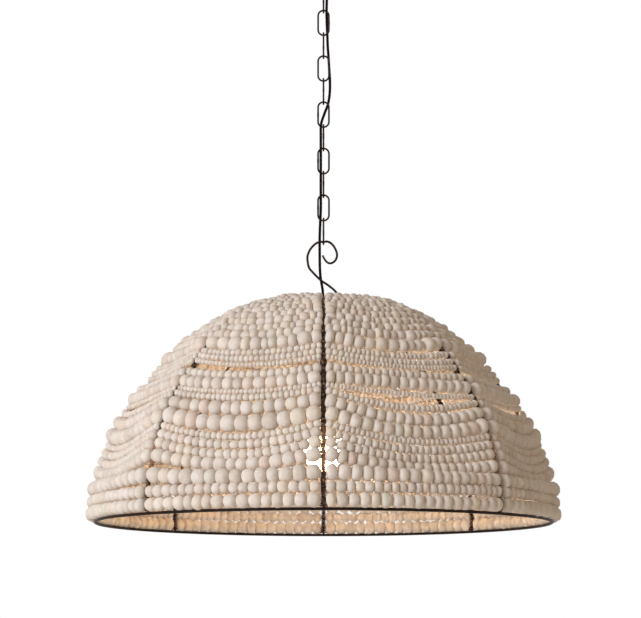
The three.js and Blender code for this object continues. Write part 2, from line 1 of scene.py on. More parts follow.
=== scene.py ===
"""A dome pendant strung with pale clay beads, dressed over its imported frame.

Everything is in metres in the row frame: the origin is the middle of the ceiling strap's top face, +Z is
up, and the camera looks along +Y. Cells are marked with # %%, so the script also reads as a lesson."""
import bmesh
import bpy
import math
import numpy as np
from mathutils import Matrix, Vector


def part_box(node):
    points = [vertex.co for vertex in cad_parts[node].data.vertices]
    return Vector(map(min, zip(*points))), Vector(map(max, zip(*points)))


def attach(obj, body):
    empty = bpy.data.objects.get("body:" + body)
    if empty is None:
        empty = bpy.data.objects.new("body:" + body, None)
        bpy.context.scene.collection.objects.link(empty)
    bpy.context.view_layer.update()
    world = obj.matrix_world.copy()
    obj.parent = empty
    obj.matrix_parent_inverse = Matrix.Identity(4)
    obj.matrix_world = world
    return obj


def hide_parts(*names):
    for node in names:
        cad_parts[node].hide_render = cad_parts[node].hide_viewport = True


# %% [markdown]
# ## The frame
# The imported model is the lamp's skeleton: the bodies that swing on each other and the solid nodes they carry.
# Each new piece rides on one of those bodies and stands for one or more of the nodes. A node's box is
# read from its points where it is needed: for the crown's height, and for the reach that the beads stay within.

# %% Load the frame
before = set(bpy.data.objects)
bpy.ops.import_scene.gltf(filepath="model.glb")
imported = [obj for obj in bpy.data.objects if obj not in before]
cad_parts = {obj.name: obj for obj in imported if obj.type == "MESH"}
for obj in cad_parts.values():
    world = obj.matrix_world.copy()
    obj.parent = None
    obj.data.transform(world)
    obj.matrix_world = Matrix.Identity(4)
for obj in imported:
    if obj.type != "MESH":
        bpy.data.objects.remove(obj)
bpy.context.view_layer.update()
MM = 0.001

# %% [markdown]
# ## Camera
# The photo was taken through a long lens from a little below the rim, tilted up. A camera can be set by eye,
# but a round rim gives it away: how wide its ellipse looks gives the distance, and how flat it looks gives
# the height. Lens = focal length in pixels / picture width x sensor width. The lamp's axis stands 3 pixels
# right of the middle, which a small shift of the lens takes up. One pixel covers 1.4 mm of the lamp.

# %% Camera
CROWN_Z = (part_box("crown_ring")[0][2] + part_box("crown_ring")[1][2]) / 2
DOME_HEIGHT = 318 * MM
RING_Z = CROWN_Z - DOME_HEIGHT
PICTURE_WIDTH, FOCAL_PIXELS, AXIS_RIGHT = 641, 1919.7, 3
SENSOR_WIDTH = 36
STAND_BACK, STAND_BELOW = 2775.5 * MM, 157.8 * MM
TILT_UP = 0.168


def make_camera():
    """The camera on the lamp's axis, with its tilt counted from level."""
    data = bpy.data.cameras.new("camera")
    data.sensor_width = SENSOR_WIDTH
    data.lens = FOCAL_PIXELS / PICTURE_WIDTH * SENSOR_WIDTH
    data.shift_x = -AXIS_RIGHT / PICTURE_WIDTH
    data.clip_end = 60
    made = bpy.data.objects.new("camera", data)
    made.location = (0, -STAND_BACK, RING_Z - STAND_BELOW)
    made.rotation_euler = (math.pi / 2 + TILT_UP, 0, 0)
    bpy.context.scene.collection.objects.link(made)
    return made


bpy.context.scene.camera = make_camera()
print("ring plane at", round(RING_Z, 5))

# %% [markdown]
# ## Colours and nodes
# A colour is written as sRGB hex, as a picture editor shows it, and turned to the linear numbers that shaders
# take. Materials could be wired by hand in the node editor. In code, one small function that adds a node with
# its settings and links keeps each finish readable from top to bottom.

# %% Tools for colours and nodes
def linear(code):
    """sRGB hex to linear: c / 12.92 up to 0.04045, else ((c + 0.055) / 1.055) ** 2.4."""
    values = [int(code[i:i + 2], 16) / 255 for i in (1, 3, 5)]
    return tuple(c / 12.92 if c <= 0.04045 else ((c + 0.055) / 1.055) ** 2.4 for c in values) + (1.0,)


def add(tree, kind, settings=None, inputs=None):
    """Adds a node. An input is a value, or a pair (node, output) to link from. The setting "stops" gives a
    colour ramp its pairs of position and hex colour."""
    node = tree.nodes.new(kind)
    for key, value in (settings or {}).items():
        if key != "stops":
            setattr(node, key, value)
            continue
        elements = node.color_ramp.elements
        while len(elements) < len(value):
            elements.new(0.5)
        for element, (position, colour) in zip(elements, value):
            element.position = position
            element.color = linear(colour)
    for key, value in (inputs or {}).items():
        if isinstance(value, tuple) and len(value) == 2 and isinstance(value[0], bpy.types.Node):
            tree.links.new(value[0].outputs[value[1]], node.inputs[key])
        else:
            node.inputs[key].default_value = value
    return node


def material(name):
    """A new material with its Principled shader and object coordinates: (material, tree, shader, place)."""
    made = bpy.data.materials.new(name)
    made.use_nodes = True
    tree = made.node_tree
    tree.nodes.clear()
    shader = add(tree, "ShaderNodeBsdfPrincipled")
    output = add(tree, "ShaderNodeOutputMaterial")
    tree.links.new(shader.outputs[0], output.inputs[0])
    return made, tree, shader, (add(tree, "ShaderNodeTexCoord"), "Object")


MULTIPLY = {"data_type": "RGBA", "blend_type": "MULTIPLY"}
print("white is", linear("#FFFFFF"))

# %% [markdown]
# ## Surfaces from arrays
# Every new piece is a grid of points worked out in numpy and joined by quads. Blender's own primitives and
# modifiers could make many of them, but a formula says exactly what the shape is, and thousands of beads cost
# no more lines than one.

# %% Tools for meshes
def new_object(name, verts, faces, finish, sides=4, smooth=True):
    """A mesh object from an (n, 3) array of points in metres and an (m, sides) array of faces."""
    mesh = bpy.data.meshes.new(name)
    verts = np.ascontiguousarray(verts, dtype=np.float32)
    faces = np.ascontiguousarray(faces, dtype=np.int32)
    mesh.vertices.add(len(verts))
    mesh.vertices.foreach_set("co", verts.ravel())
    mesh.loops.add(faces.size)
    mesh.loops.foreach_set("vertex_index", faces.ravel())
    mesh.polygons.add(len(faces))
    mesh.polygons.foreach_set("loop_start", np.arange(0, faces.size, sides, dtype=np.int32))
    mesh.polygons.foreach_set("use_smooth", np.full(len(faces), smooth))
    mesh.update(calc_edges=True)
    mesh.validate()
    mesh.materials.append(finish)
    made = bpy.data.objects.new(name, mesh)
    bpy.context.scene.collection.objects.link(made)
    return made


def grid_faces(rows, sides, closed_rows=False):
    """Quads of a grid of rows x sides points whose sides run round. The last row joins the first if asked."""
    row = np.arange(rows if closed_rows else rows - 1)[:, None]
    side = np.arange(sides)[None, :]
    here = row * sides + side
    beside = row * sides + (side + 1) % sides
    over = ((row + 1) % rows) * sides
    return np.stack([here, beside, over + (side + 1) % sides, over + side], axis=-1).reshape(-1, 4)


def circle(count):
    """The angles of count points spread evenly round a circle."""
    return np.arange(count) * 2 * np.pi / count


def unit(vectors):
    """Each row over its own length."""
    return vectors / np.linalg.norm(vectors, axis=1, keepdims=True)


def put(piece, body, slot, *nodes):
    """The piece rides on a body and stands for the nodes named, whose solids are hidden. The slot is not used.
    """
    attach(piece, body)
    if nodes:
        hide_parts(*nodes)
    return piece


print("a ring of 3 rows and 4 sides has", len(grid_faces(3, 4, True)), "faces")

# %% [markdown]
# ## Curves and tubes
# Cord, chain, hook, ribs and wires are all round rod that follows a path. A curve object with a bevel does
# that too, but it can't swell at a weld or end in a plug. Here a smooth curve runs through a few points, and
# a ring of points is set square to it at each step. The curve is the one that the solids follow, so the two
# models agree.

# %% Tools for tubes
END_DOME = np.array([(0.999, 0.02), (0.8, 0.6), (0.35, 0.94)])


def catmull(points, per_span):
    """Uniform Catmull-Rom through points: between b and c the slopes are (c - a) / 2 and (d - b) / 2."""
    points = np.array(points, float)
    padded = np.concatenate([points[:1], points, points[-1:]])
    p0, p1, p2, p3 = padded[:-3], padded[1:-2], padded[2:-1], padded[3:]
    t = (np.arange(per_span) / per_span)[None, :, None]
    v0, v1 = (p2 - p0)[:, None] / 2, (p3 - p1)[:, None] / 2
    a, b = p1[:, None], p2[:, None]
    spans = (2 * a - 2 * b + v0 + v1) * t ** 3 + (-3 * a + 3 * b - 2 * v0 - v1) * t ** 2 + v0 * t + a
    return np.concatenate([spans.reshape(-1, points.shape[1]), points[-1:]])


def frames_along(points, beside, closed=False):
    """Unit vectors along, across and up for a path. Across = beside x along, up = along x across."""
    if closed:
        along = unit(np.roll(points, -1, axis=0) - np.roll(points, 1, axis=0))
    else:
        along = unit(np.gradient(points, axis=0))
    across = unit(np.cross(np.broadcast_to(beside, along.shape), along))
    return along, across, np.cross(along, across)


def close_ends(made, rows, sides):
    """Puts one face over each end ring."""
    work = bmesh.new()
    work.from_mesh(made.data)
    work.verts.ensure_lookup_table()
    work.faces.new([work.verts[i] for i in range(sides)][::-1])
    work.faces.new([work.verts[(rows - 1) * sides + i] for i in range(sides)])
    for face in work.faces:
        face.smooth = True
    work.to_mesh(made.data)
    work.free()


def tube(name, points, radius, beside, finish, sides=16, closed=False):
    """A round tube along points in mm. Point = centre + r (cos t across + sin t up). An open end gets three
    shrinking rings within half a radius, and a face."""
    points = np.array(points, float)
    radius = np.broadcast_to(np.array(radius, float), (len(points),)).copy()
    along, across, up = frames_along(points, np.array(beside, float), closed)
    if not closed:
        reach, share = END_DOME[:, :1] / 2, END_DOME[:, 1]
        head = points[0] - along[0] * radius[0] * reach
        tail = points[-1] + along[-1] * radius[-1] * reach[::-1]
        points = np.concatenate([head, points, tail])
        radius = np.concatenate([radius[0] * share, radius, radius[-1] * share[::-1]])
        rings = len(END_DOME)
        across, up = (np.concatenate([[v[0]] * rings, v, [v[-1]] * rings]) for v in (across, up))
    turn = circle(sides)[None, :, None]
    spokes = np.cos(turn) * across[:, None, :] + np.sin(turn) * up[:, None, :]
    verts = points[:, None, :] + radius[:, None, None] * spokes
    made = new_object(name, verts.reshape(-1, 3) * MM, grid_faces(len(points), sides, closed), finish)
    if not closed:
        close_ends(made, len(points), sides)
    return made


print("a curve through 3 points in 4 steps a span has", len(catmull([(0, 0), (1, 1), (2, 0)], 4)), "points")

# %% [markdown]
# ## The cord
# The lamp's lead is a round cord in a cloth braid, woven through the chain and held all the way: beside the
# upper links, through the sixth to the front, back through the tenth, behind the hook and down the stem. One
# mesh that bends over all the joints would be the usual way. But a link holds its own stretch of the cord, so
# each body carries one stiff tube, and the bend of a few degrees falls in the joint. The braid is diagonal
# bands 1.5 mm apart. Real threads are finer, but nothing much below a pixel's 1.4 mm would show.

# %% Cloth of the cord
def cord_finish():
    """Cloth braid: dark threads that run slantwise, matt, with a bump from the same bands."""
    made, tree, shader, place = material("braided_cloth")
    weave = add(tree, "ShaderNodeTexWave", {"wave_type": "BANDS", "bands_direction": "DIAGONAL"},
                {"Vector": place, "Scale": 420.0, "Distortion": 1.5, "Detail": 2.0})
    tint = add(tree, "ShaderNodeValToRGB", {"stops": [(0.2, "#0B0604"), (0.8, "#1E110C")]},
               {"Fac": (weave, "Fac")})
    tree.links.new(tint.outputs[0], shader.inputs["Base Color"])
    bump = add(tree, "ShaderNodeBump", inputs={"Strength": 0.6, "Distance": 0.0003, "Height": (weave, "Fac")})
    tree.links.new(bump.outputs[0], shader.inputs["Normal"])
    shader.inputs["Roughness"].default_value = 0.85
    shader.inputs["Specular IOR Level"].default_value = 0.08
    return made


CORD_CLOTH = cord_finish()
print("made", CORD_CLOTH.name)

# %% Cord
CORD_ROUTE = [
    (6, 13.5, -16), (6, 13.5, -46), (5.8, 12, -55), (5.3, 8.2, -63.5),
    (5, 5, -71.6), (4.6, 4.4, -90), (5, 4.2, -107), (5.8, 4.2, -126),
    (6.4, 4.2, -142.7), (7.6, 4.2, -161), (8.6, 4.2, -178.2), (9.6, 4.2, -196),
    (9.4, 4.4, -213.9), (6.8, 4.4, -232), (0.8, 0, -250), (-3.6, -4, -266),
    (-4, -4.4, -285.1), (-4, -4.2, -303), (-4, -4.2, -320.7), (-4, -4.2, -338),
    (-4, -4.2, -356.3), (-4, -4.1, -374), (-4, 0, -391.9), (-4.7, 4.2, -410),
    (-5.4, 5, -427.5), (-5.7, 5, -444), (-5.6, 5, -462), (-5.4, 4.9, -480),
    (-4.6, 4.7, -494), (-3.1, 3.8, -504), (-1.5, 1.7, -514), (-0.6, 0.4, -524),
    (0, 0, -540), (0, 0, -590), (0, 0, -642),
]
CORD_STEPS = 8
CORD_RADIUS, PLUG_RADIUS, PLUG_LENGTH = 2.0, 1.93, 1.6
LINK_COUNT = 11
LOOP_PIVOT, FIRST_PIVOT, PITCH = -56.3, -91.1, 35.6
CORD_CUTS = [LOOP_PIVOT] + [FIRST_PIVOT - PITCH * k for k in range(LINK_COUNT)]
BODIES = ["fixture"] + [f"link_{k + 1:02d}" for k in range(LINK_COUNT)] + ["shade"]


def make_cord():
    """One tube for each body, cut at the height of each joint. Every end runs on as a slightly thinner plug
    into the next tube, so the cord stays whole where the joint turns it by up to 8 degrees. The last tube is
    the shade's, which stands for no node of its own."""
    route = catmull(CORD_ROUTE, CORD_STEPS)
    cuts = [0] + [int(np.argmin(np.abs(route[:, 2] - height))) for height in CORD_CUTS] + [len(route) - 1]
    for index, body in enumerate(BODIES):
        points = route[cuts[index]:cuts[index + 1] + 1]
        onward = unit(np.array([points[0] - points[1], points[-1] - points[-2]])) * PLUG_LENGTH
        points = np.concatenate([points[:1] + onward[:1], points, points[-1:] + onward[1:]])
        radius = np.full(len(points), CORD_RADIUS)
        radius[[0, -1]] = PLUG_RADIUS
        piece = tube(f"cord_cloth_{index + 1:02d}", points, radius, (0, 1, 0), CORD_CLOTH, 14)
        nodes = [] if body == "shade" else [f"cord_stretch_{index + 1:02d}"]
        put(piece, body, "cord", *nodes)
    return np.sum(np.linalg.norm(np.diff(route, axis=0), axis=1))


print("cord length", round(make_cord()), "mm")

# %% [markdown]
# ## Iron and plain finishes
# The metal parts are iron painted a dark bronze brown. Paint hides the metal's own shine, so the metallic
# value is under a half. It rubs warmer where it is touched and rusts in patches, whose size each part gives
# in mm: a noise of scale 1000 / d, in metres, has features of about d mm. Canopy, chain and wire differ only
# in colours and patch size, so one function makes them all. On the wire near the bulb, the bulb's light is
# painted into the colour as a paler, warmer stretch of the rib. Porcelain, brass and plastic vary less, and
# share a plainer recipe.

# %% Iron
WEAR_SCALE = 700.0
# Painted bulb light: around this height above the rim the ribs are painted paler and warmer, where the bulb
# lights them.
BULB_LIGHT_MIDDLE, BULB_LIGHT_FULL, BULB_LIGHT_END = 75 * MM, 18 * MM, 36 * MM


def paint_bulb_light(tree, place, cloud, base, colour):
    """Painted bulb light: mixes colour over base within 18 mm of a height of 75 mm above the rim, gone by 36
    mm, in patches.
    """
    height = add(tree, "ShaderNodeSeparateXYZ", inputs={"Vector": place})
    off = add(tree, "ShaderNodeMath", {"operation": "SUBTRACT"}, {0: (height, "Z"), 1: RING_Z + BULB_LIGHT_MIDDLE})
    off = add(tree, "ShaderNodeMath", {"operation": "ABSOLUTE"}, {0: (off, 0)})
    near = add(tree, "ShaderNodeMapRange", inputs={
        "Value": (off, 0), "From Min": BULB_LIGHT_FULL, "From Max": BULB_LIGHT_END, "To Min": 1.0, "To Max": 0.0})
    patchy = add(tree, "ShaderNodeMapRange", inputs={
        "Value": (cloud, "Fac"), "From Min": 0.35, "From Max": 0.55, "To Min": 0.45, "To Max": 1.0})
    share = add(tree, "ShaderNodeMath", {"operation": "MULTIPLY"}, {0: (near, 0), 1: (patchy, 0)})
    return add(tree, "ShaderNodeMix", {"data_type": "RGBA"},
               {"Factor": (share, 0), "A": (base, 2), "B": linear(colour)})


def iron_finish(name, colours, patch, wear, stops=(0.35, 0.62, 0.8), bulb_light_colour=None):
    """Painted iron. Colours are paint, rubbed paint and rust, at three levels of a noise with patches of patch
    mm; on the binding wire the third is partly painted glints. Wear is how far a fine noise darkens them, and
    bulb_light_colour is the painted light of the bulb beside it."""
    made, tree, shader, place = material(name)
    cloud = add(tree, "ShaderNodeTexNoise", inputs={"Vector": place, "Scale": 1000 / patch, "Detail": 5.0})
    fine = add(tree, "ShaderNodeTexNoise", inputs={"Vector": place, "Scale": WEAR_SCALE, "Detail": 4.0})
    base = add(tree, "ShaderNodeValToRGB", {"stops": list(zip(stops, colours))}, {"Fac": (cloud, "Fac")})
    rub = add(tree, "ShaderNodeValToRGB", {"stops": [(0.45, "#B8B0AA"), (0.62, "#FFFFFF")]},
              {"Fac": (fine, "Fac")})
    mixed = add(tree, "ShaderNodeMix", MULTIPLY, {"Factor": wear, "A": (base, "Color"), "B": (rub, "Color")})
    if bulb_light_colour:
        mixed = paint_bulb_light(tree, place, cloud, mixed, bulb_light_colour)
    tree.links.new(mixed.outputs[2], shader.inputs["Base Color"])
    rough = add(tree, "ShaderNodeMapRange", inputs={
        "Value": (fine, "Fac"), "From Min": 0.3, "From Max": 0.7, "To Min": 0.38, "To Max": 0.62})
    tree.links.new(rough.outputs[0], shader.inputs["Roughness"])
    bump = add(tree, "ShaderNodeBump", inputs={"Strength": 0.3, "Distance": 0.0002, "Height": (fine, "Fac")})
    tree.links.new(bump.outputs[0], shader.inputs["Normal"])
    shader.inputs["Metallic"].default_value = 0.45
    shader.inputs["Specular IOR Level"].default_value = 0.3
    return made


# Brushed paint on chain and hook is nearly black with a dull edge light. The thin wire is rough and mostly
# worn to brown, with pale flecks that are partly rust and partly painted glints of its coils, and painted bulb
# light near the bulb.
# The spun canopy is the smoothest, with only wide, faint clouds.
IRON = iron_finish("dark_bronze_iron", ("#180E0A", "#2A1912", "#55290F"), 9.0, 0.5)
RIB_IRON = iron_finish("binding_wire_rust_and_painted_light", ("#1F140F", "#4C3226", "#A08068"), 3.5, 0.6,
                       stops=(0.42, 0.52, 0.62), bulb_light_colour="#B58863")
CANOPY_IRON = iron_finish("dark_bronze_steel", ("#241A16", "#33261F", "#453026"), 30.0, 0.3)
print("made", IRON.name, RIB_IRON.name, CANOPY_IRON.name)


# %% Porcelain, brass and plastic
def plain_finish(name, one, other, roughness, metallic=0.0, grain=300.0, strength=0.1):
    """A finish that shifts between two near colours over a fine noise, with a little bump from it."""
    made, tree, shader, place = material(name)
    noise = add(tree, "ShaderNodeTexNoise", inputs={"Vector": place, "Scale": grain, "Detail": 4.0})
    tint = add(tree, "ShaderNodeValToRGB", {"stops": [(0.3, one), (0.7, other)]}, {"Fac": (noise, "Fac")})
    tree.links.new(tint.outputs[0], shader.inputs["Base Color"])
    bump = add(tree, "ShaderNodeBump", inputs={
        "Strength": strength, "Distance": 0.0002, "Height": (noise, "Fac")})
    tree.links.new(bump.outputs[0], shader.inputs["Normal"])
    shader.inputs["Roughness"].default_value = roughness
    shader.inputs["Metallic"].default_value = metallic
    return made


# Glaze is smooth, so porcelain has a sharp highlight. Rolled brass is bare metal with a soft, warm gleam, and
# moulded plastic has an even satin sheen.
PORCELAIN = plain_finish("glazed_porcelain", "#EDE8DE", "#F4F0E8", 0.18, grain=60.0, strength=0.05)
BRASS = plain_finish("rolled_brass", "#A9864A", "#C39C58", 0.32, metallic=1.0, grain=400.0)
BLACK_PLASTIC = plain_finish("moulded_black_plastic", "#151413", "#22201E", 0.55)
print("made", PORCELAIN.name, BRASS.name, BLACK_PLASTIC.name)

# %% [markdown]
# ## Ceiling fitting
# Above the picture the lamp hangs from a strap screwed to the ceiling, hidden by a spun canopy, with a stud,
# a lock nut, a collar with its ring, and a moulded relief that grips the cord. All but the ring are round
# about an axis, so each is a profile turned on it, as a lathe would. The Screw modifier turns a drawn outline
# in the same way. Here the outline is a short list of radius and height, so its sizes stand in the script.

# %% Tools for turned parts
def merge_poles(made, distance=0.01 * MM):
    """Joins points that lie within a hair of each other, so that poles are closed."""
    work = bmesh.new()
    work.from_mesh(made.data)
    bmesh.ops.remove_doubles(work, verts=work.verts, dist=distance)
    work.to_mesh(made.data)
    work.free()


def lathe(name, profile, finish, sides=64, closed=False, at=(0, 0)):
    """Turns a profile of (radius, z) in mm about the vertical through at. Point = (r cos t + x, r sin t + y,
    z). The profile ends on the axis, or is closed on itself, and is turned round if it runs clockwise."""
    points = np.array(profile, float)
    shoelace = np.sum(points[:, 0] * np.roll(points[:, 1], -1) - np.roll(points[:, 0], -1) * points[:, 1])
    if shoelace < 0:
        points = points[::-1]
    turn = circle(sides)
    radius = np.maximum(points[:, 0], 1e-3)[:, None]
    height = np.repeat(points[:, 1][:, None], sides, axis=1)
    verts = np.stack([radius * np.cos(turn) + at[0], radius * np.sin(turn) + at[1], height], axis=-1)
    made = new_object(name, verts.reshape(-1, 3) * MM, grid_faces(len(points), sides, closed), finish)
    merge_poles(made)
    return made


def rounded(profile, radius, steps=3):
    """Rounds the inner corners of a profile. Each corner p becomes (1 - s)^2 a + 2 s (1 - s) p + s^2 b, with a
    and b on its two sides at radius from it, or less on a short side."""
    points = np.array(profile, float)
    out = [points[0]]
    share = np.linspace(0, 1, steps + 1)[:, None]
    for before, corner, after in zip(points, points[1:], points[2:]):
        back, ahead = before - corner, after - corner
        reach = min(radius, np.linalg.norm(back) / 2.2, np.linalg.norm(ahead) / 2.2)
        start = corner + back / np.linalg.norm(back) * reach
        end = corner + ahead / np.linalg.norm(ahead) * reach
        out.extend((1 - share) ** 2 * start + 2 * share * (1 - share) * corner + share ** 2 * end)
    return np.array(out + [points[-1]])


def quarter_ellipse(flat, reach, depth, steps=14):
    """From (flat, -depth) out and up to (flat + reach, 0)."""
    turn = np.linspace(0, np.pi / 2, steps)
    return np.stack([flat + reach * np.sin(turn), -depth * np.cos(turn)], axis=1)


print("a square corner takes", len(rounded([(0, 0), (1, 0), (1, 1)], 0.2)) - 2, "points")

# %% Canopy and what hangs it
CANOPY_FLAT, CANOPY_REACH, CANOPY_DEPTH, CANOPY_SHEET = 27, 36.5, 26, 1.2
STEM_HOLE = 5.1
STUD = [(0, -2.8), (4.8, -2.8), (4.8, -31.3), (0, -31.3)]
LOCK_NUT = [(STEM_HOLE, -24.5), (9, -24.5), (9, -19.5), (STEM_HOLE, -19.5)]
COLLAR = [(0, -36.3), (8.5, -36.3), (8.5, -26.3), (STEM_HOLE, -26.3), (STEM_HOLE, -31.6), (0, -31.6)]
LOOP_MIDDLE, LOOP_RADIUS, LOOP_WIRE_RADIUS = -46.3, 10, 2.2
RELIEF = [(2.45, -46), (3.1, -46), (3.3, -43), (4.4, -36), (5.8, -28.3), (5.8, -26.3), (4.2, -26.3),
          (4.2, -24.5), (5.8, -24.5), (5.8, -22.5), (2.45, -22.5)]
RELIEF_AT = (6, 13.5)


def make_canopy():
    """A cup of sheet metal: an ellipse outside, and one smaller by the sheet's thickness inside."""
    depth = CANOPY_DEPTH - CANOPY_SHEET
    outer = quarter_ellipse(CANOPY_FLAT, CANOPY_REACH, CANOPY_DEPTH)
    inner = quarter_ellipse(CANOPY_FLAT, CANOPY_REACH - CANOPY_SHEET, depth)[::-1]
    cup = np.concatenate([[(STEM_HOLE, -CANOPY_DEPTH)], outer, inner, [(STEM_HOLE, -depth)]])
    put(lathe("canopy_spun", cup, CANOPY_IRON, 96, True), "fixture", "canopy_metal", "canopy")


def make_hanging_parts():
    """Stud, nut, collar with its ring, and cord relief. The strap and its screws keep their solids."""
    put(lathe("stud_turned", rounded(STUD, 0.4), CANOPY_IRON, 32), "fixture", "canopy_metal", "canopy_stud")
    put(lathe("lock_nut_turned", LOCK_NUT, CANOPY_IRON, 12, True), "fixture", "canopy_metal", "canopy_lock_nut")
    put(lathe("collar_turned", rounded(COLLAR, 0.8), CANOPY_IRON, 48), "fixture", "canopy_metal", "canopy_loop")
    turn = circle(64)
    ring = np.stack([LOOP_RADIUS * np.cos(turn), 0 * turn, LOOP_MIDDLE + LOOP_RADIUS * np.sin(turn)], axis=1)
    put(tube("loop_ring", ring, LOOP_WIRE_RADIUS, (0, 1, 0), CANOPY_IRON, 20, True), "fixture", "canopy_metal")
    put(lathe("strain_relief_moulded", RELIEF, BLACK_PLASTIC, 32, True, at=RELIEF_AT),
        "fixture", "black_plastic", "cord_strain_relief")
    for node in ("ceiling_strap", "strap_screw_left", "strap_screw_right"):
        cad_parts[node].material_slots[0].material = CANOPY_IRON


make_canopy()
make_hanging_parts()
print("canopy", 2 * (CANOPY_FLAT + CANOPY_REACH), "mm across")

# %% [markdown]
# ## Chain and hook
# Each link is bent from round wire: two half circles joined by straight legs, with a butt weld on one leg,
# seen as a slight swelling. Copies of one link would do, but every second link stands square to the one
# above and hand-made links aren't all the same way round, so the weld's side is drawn for each. A drawn
# number has to be the same on every run, so it comes from a formula and not from a random generator.

# %% Chain
LINK_LENGTH, LINK_WIDTH, LINK_WIRE = 41.5, 19.0, 2.8
WELD_SWELL = 0.18


def hashed(index, seed):
    """A fixed number from 0 to 1 for each index, that looks drawn by chance: the fraction of
    sin(index x 12.9898 + seed x 78.233) x 43758.5453."""
    value = np.sin(np.asarray(index, float) * 12.9898 + seed * 78.233) * 43758.5453
    return value - np.floor(value)


def link_points(steps=12, leg_steps=6):
    """Half circle over the top, leg down, half circle under, leg up: (out, height) in mm."""
    bend = (LINK_WIDTH - LINK_WIRE) / 2
    leg = (LINK_LENGTH - LINK_WIDTH) / 2
    turn = np.linspace(0, np.pi, steps + 1)
    top = np.stack([bend * np.cos(turn), leg + bend * np.sin(turn)], axis=1)
    down = np.stack([np.full(leg_steps, -bend), np.linspace(leg, -leg, leg_steps + 2)[1:-1]], axis=1)
    return np.concatenate([top, down, -top, -down])


def make_chain():
    """Links with their middles a pitch apart, turn and turn about along X and Y."""
    shape = link_points()
    weld = len(shape) // 2 - 3
    thick = np.full(len(shape), LINK_WIRE / 2)
    thick[[weld - 1, weld]] += WELD_SWELL
    for index in range(LINK_COUNT):
        middle = FIRST_PIVOT - PITCH * index + (LINK_LENGTH - LINK_WIRE) / 2
        face_on = index % 2 == 1
        flip = 1 if hashed(index, 2) > 0.5 else -1
        out, height = shape[:, 0] * flip, shape[:, 1] + middle
        points = np.stack([out, 0 * out, height] if face_on else [0 * out, out, height], axis=1)
        piece = tube(f"link_wire_{index + 1:02d}", points[::flip], thick[::flip],
                     (0, 1, 0) if face_on else (1, 0, 0), IRON, 14, True)
        put(piece, f"link_{index + 1:02d}", "iron", f"chain_link_{index + 1:02d}")


make_chain()
print("chain of", LINK_COUNT, "links,", LINK_LENGTH, "x", LINK_WIDTH, "mm")

# %% Hook
HOOK_HEIGHT, HOOK_RADIUS = 95, 1.72
HOOK_SHARES = [
    (0.277, 0.025), (0.248, 0.111), (0.189, 0.217), (0.076, 0.316), (-0.04, 0.396), (-0.157, 0.512),
    (-0.224, 0.597), (-0.246, 0.696), (-0.246, 0.785), (-0.206, 0.884), (-0.13, 0.969), (-0.054, 1.004),
    (0, 1), (0.054, 1.009), (0.121, 0.978), (0.183, 0.893), (0.21, 0.794), (0.179, 0.705),
    (0.107, 0.664), (0.04, 0.696), (-0.013, 0.785),
]


def make_hook():
    """A pigtail of one rod, through shares of its height. Two sine waves of different lengths roughen its
    radius like hammer marks, and the free end tapers over its last two centimetres."""
    path = catmull(HOOK_SHARES, 6) * HOOK_HEIGHT
    points = np.stack([path[:, 0], 0 * path[:, 0], path[:, 1] + CROWN_Z / MM], axis=1)
    step = np.arange(len(points))
    hammer = 0.03 * np.sin(step * 1.9) + 0.024 * np.sin(step * 0.73)
    taper = 0.25 * np.linspace(0, 1, len(points)) ** 12
    hook = tube("hook_rod", points, HOOK_RADIUS + hammer - taper, (0, 1, 0), IRON, 18)
    put(hook, "shade", "iron", "pigtail_hook")
    return len(points)


print("hook of", make_hook(), "rings")

# %% [markdown]
# ## Outline of a rib
# Eight wire ribs give the dome its form, so everything strung on them needs one outline. It is a curve
# through shares of the ring's radius and of the dome's height, read off the photo's silhouette. A place on
# it is found by its distance along the curve from the rim, because beads are counted along the wire and not
# by height.

# %% Rib outline
RING_RADIUS, CROWN_RADIUS, DOME = 327.0, 28.0, DOME_HEIGHT / MM
RIB_COUNT = 8
RIB_WIRE, RIM_WIRE, STRAND_WIRE, CLEARANCE = 4.2, 4.6, 1.6, 0.3
RIB_OUT = [1, 1.006, 0.997, 0.967, 0.925, 0.872, 0.79, 0.69, 0.6, 0.505, 0.425, 0.33, 0.22]
RIB_UP = [0, 0.062, 0.144, 0.268, 0.382, 0.49, 0.609, 0.732, 0.815, 0.884, 0.927, 0.964, 0.987]
outline = catmull([(a * RING_RADIUS, b * DOME) for a, b in zip(RIB_OUT, RIB_UP)] + [(CROWN_RADIUS, DOME)], 60)
outline_at = np.concatenate([[0], np.cumsum(np.linalg.norm(np.diff(outline, axis=0), axis=1))])
outline_along = unit(np.gradient(outline, axis=0))
RIB_LENGTH = outline_at[-1]


def rib_place(distance):
    """(radius, height, out, rise) at a distance along the rib: the outward direction is (out, rise)."""
    distance = np.clip(distance, 0, RIB_LENGTH)
    radius = np.interp(distance, outline_at, outline[:, 0])
    height = np.interp(distance, outline_at, outline[:, 1]) + RING_Z / MM
    ahead_r = np.interp(distance, outline_at, outline_along[:, 0])
    ahead_z = np.interp(distance, outline_at, outline_along[:, 1])
    return radius, height, ahead_z, -ahead_r


def rib_azimuth(rib):
    """Rib 0 faces the camera, and the others follow anticlockwise as seen from above."""
    return -np.pi / 2 + 2 * np.pi * np.asarray(rib, float) / RIB_COUNT


def around(azimuth, radius, height):
    """(r cos a, r sin a, height)."""
    level = height * np.ones_like(azimuth)
    return np.stack([radius * np.cos(azimuth), radius * np.sin(azimuth), level], axis=-1)


print("rib length", round(RIB_LENGTH, 1), "mm")

# %% [markdown]
# ## Lines of the rows
# The beads are strung in rows that sag from rib to rib like garlands. Each row has one line here, the same
# as in the solids: bead size, gap below, swag in a taut and in a slack panel, slip at the ribs and pull
# towards the straight chord. The sags could be simulated as hanging chains, but then they couldn't be set to
# the photo's. Across a panel the swag follows 4 s (1 - s), which is 0 at the ribs and 1 halfway.

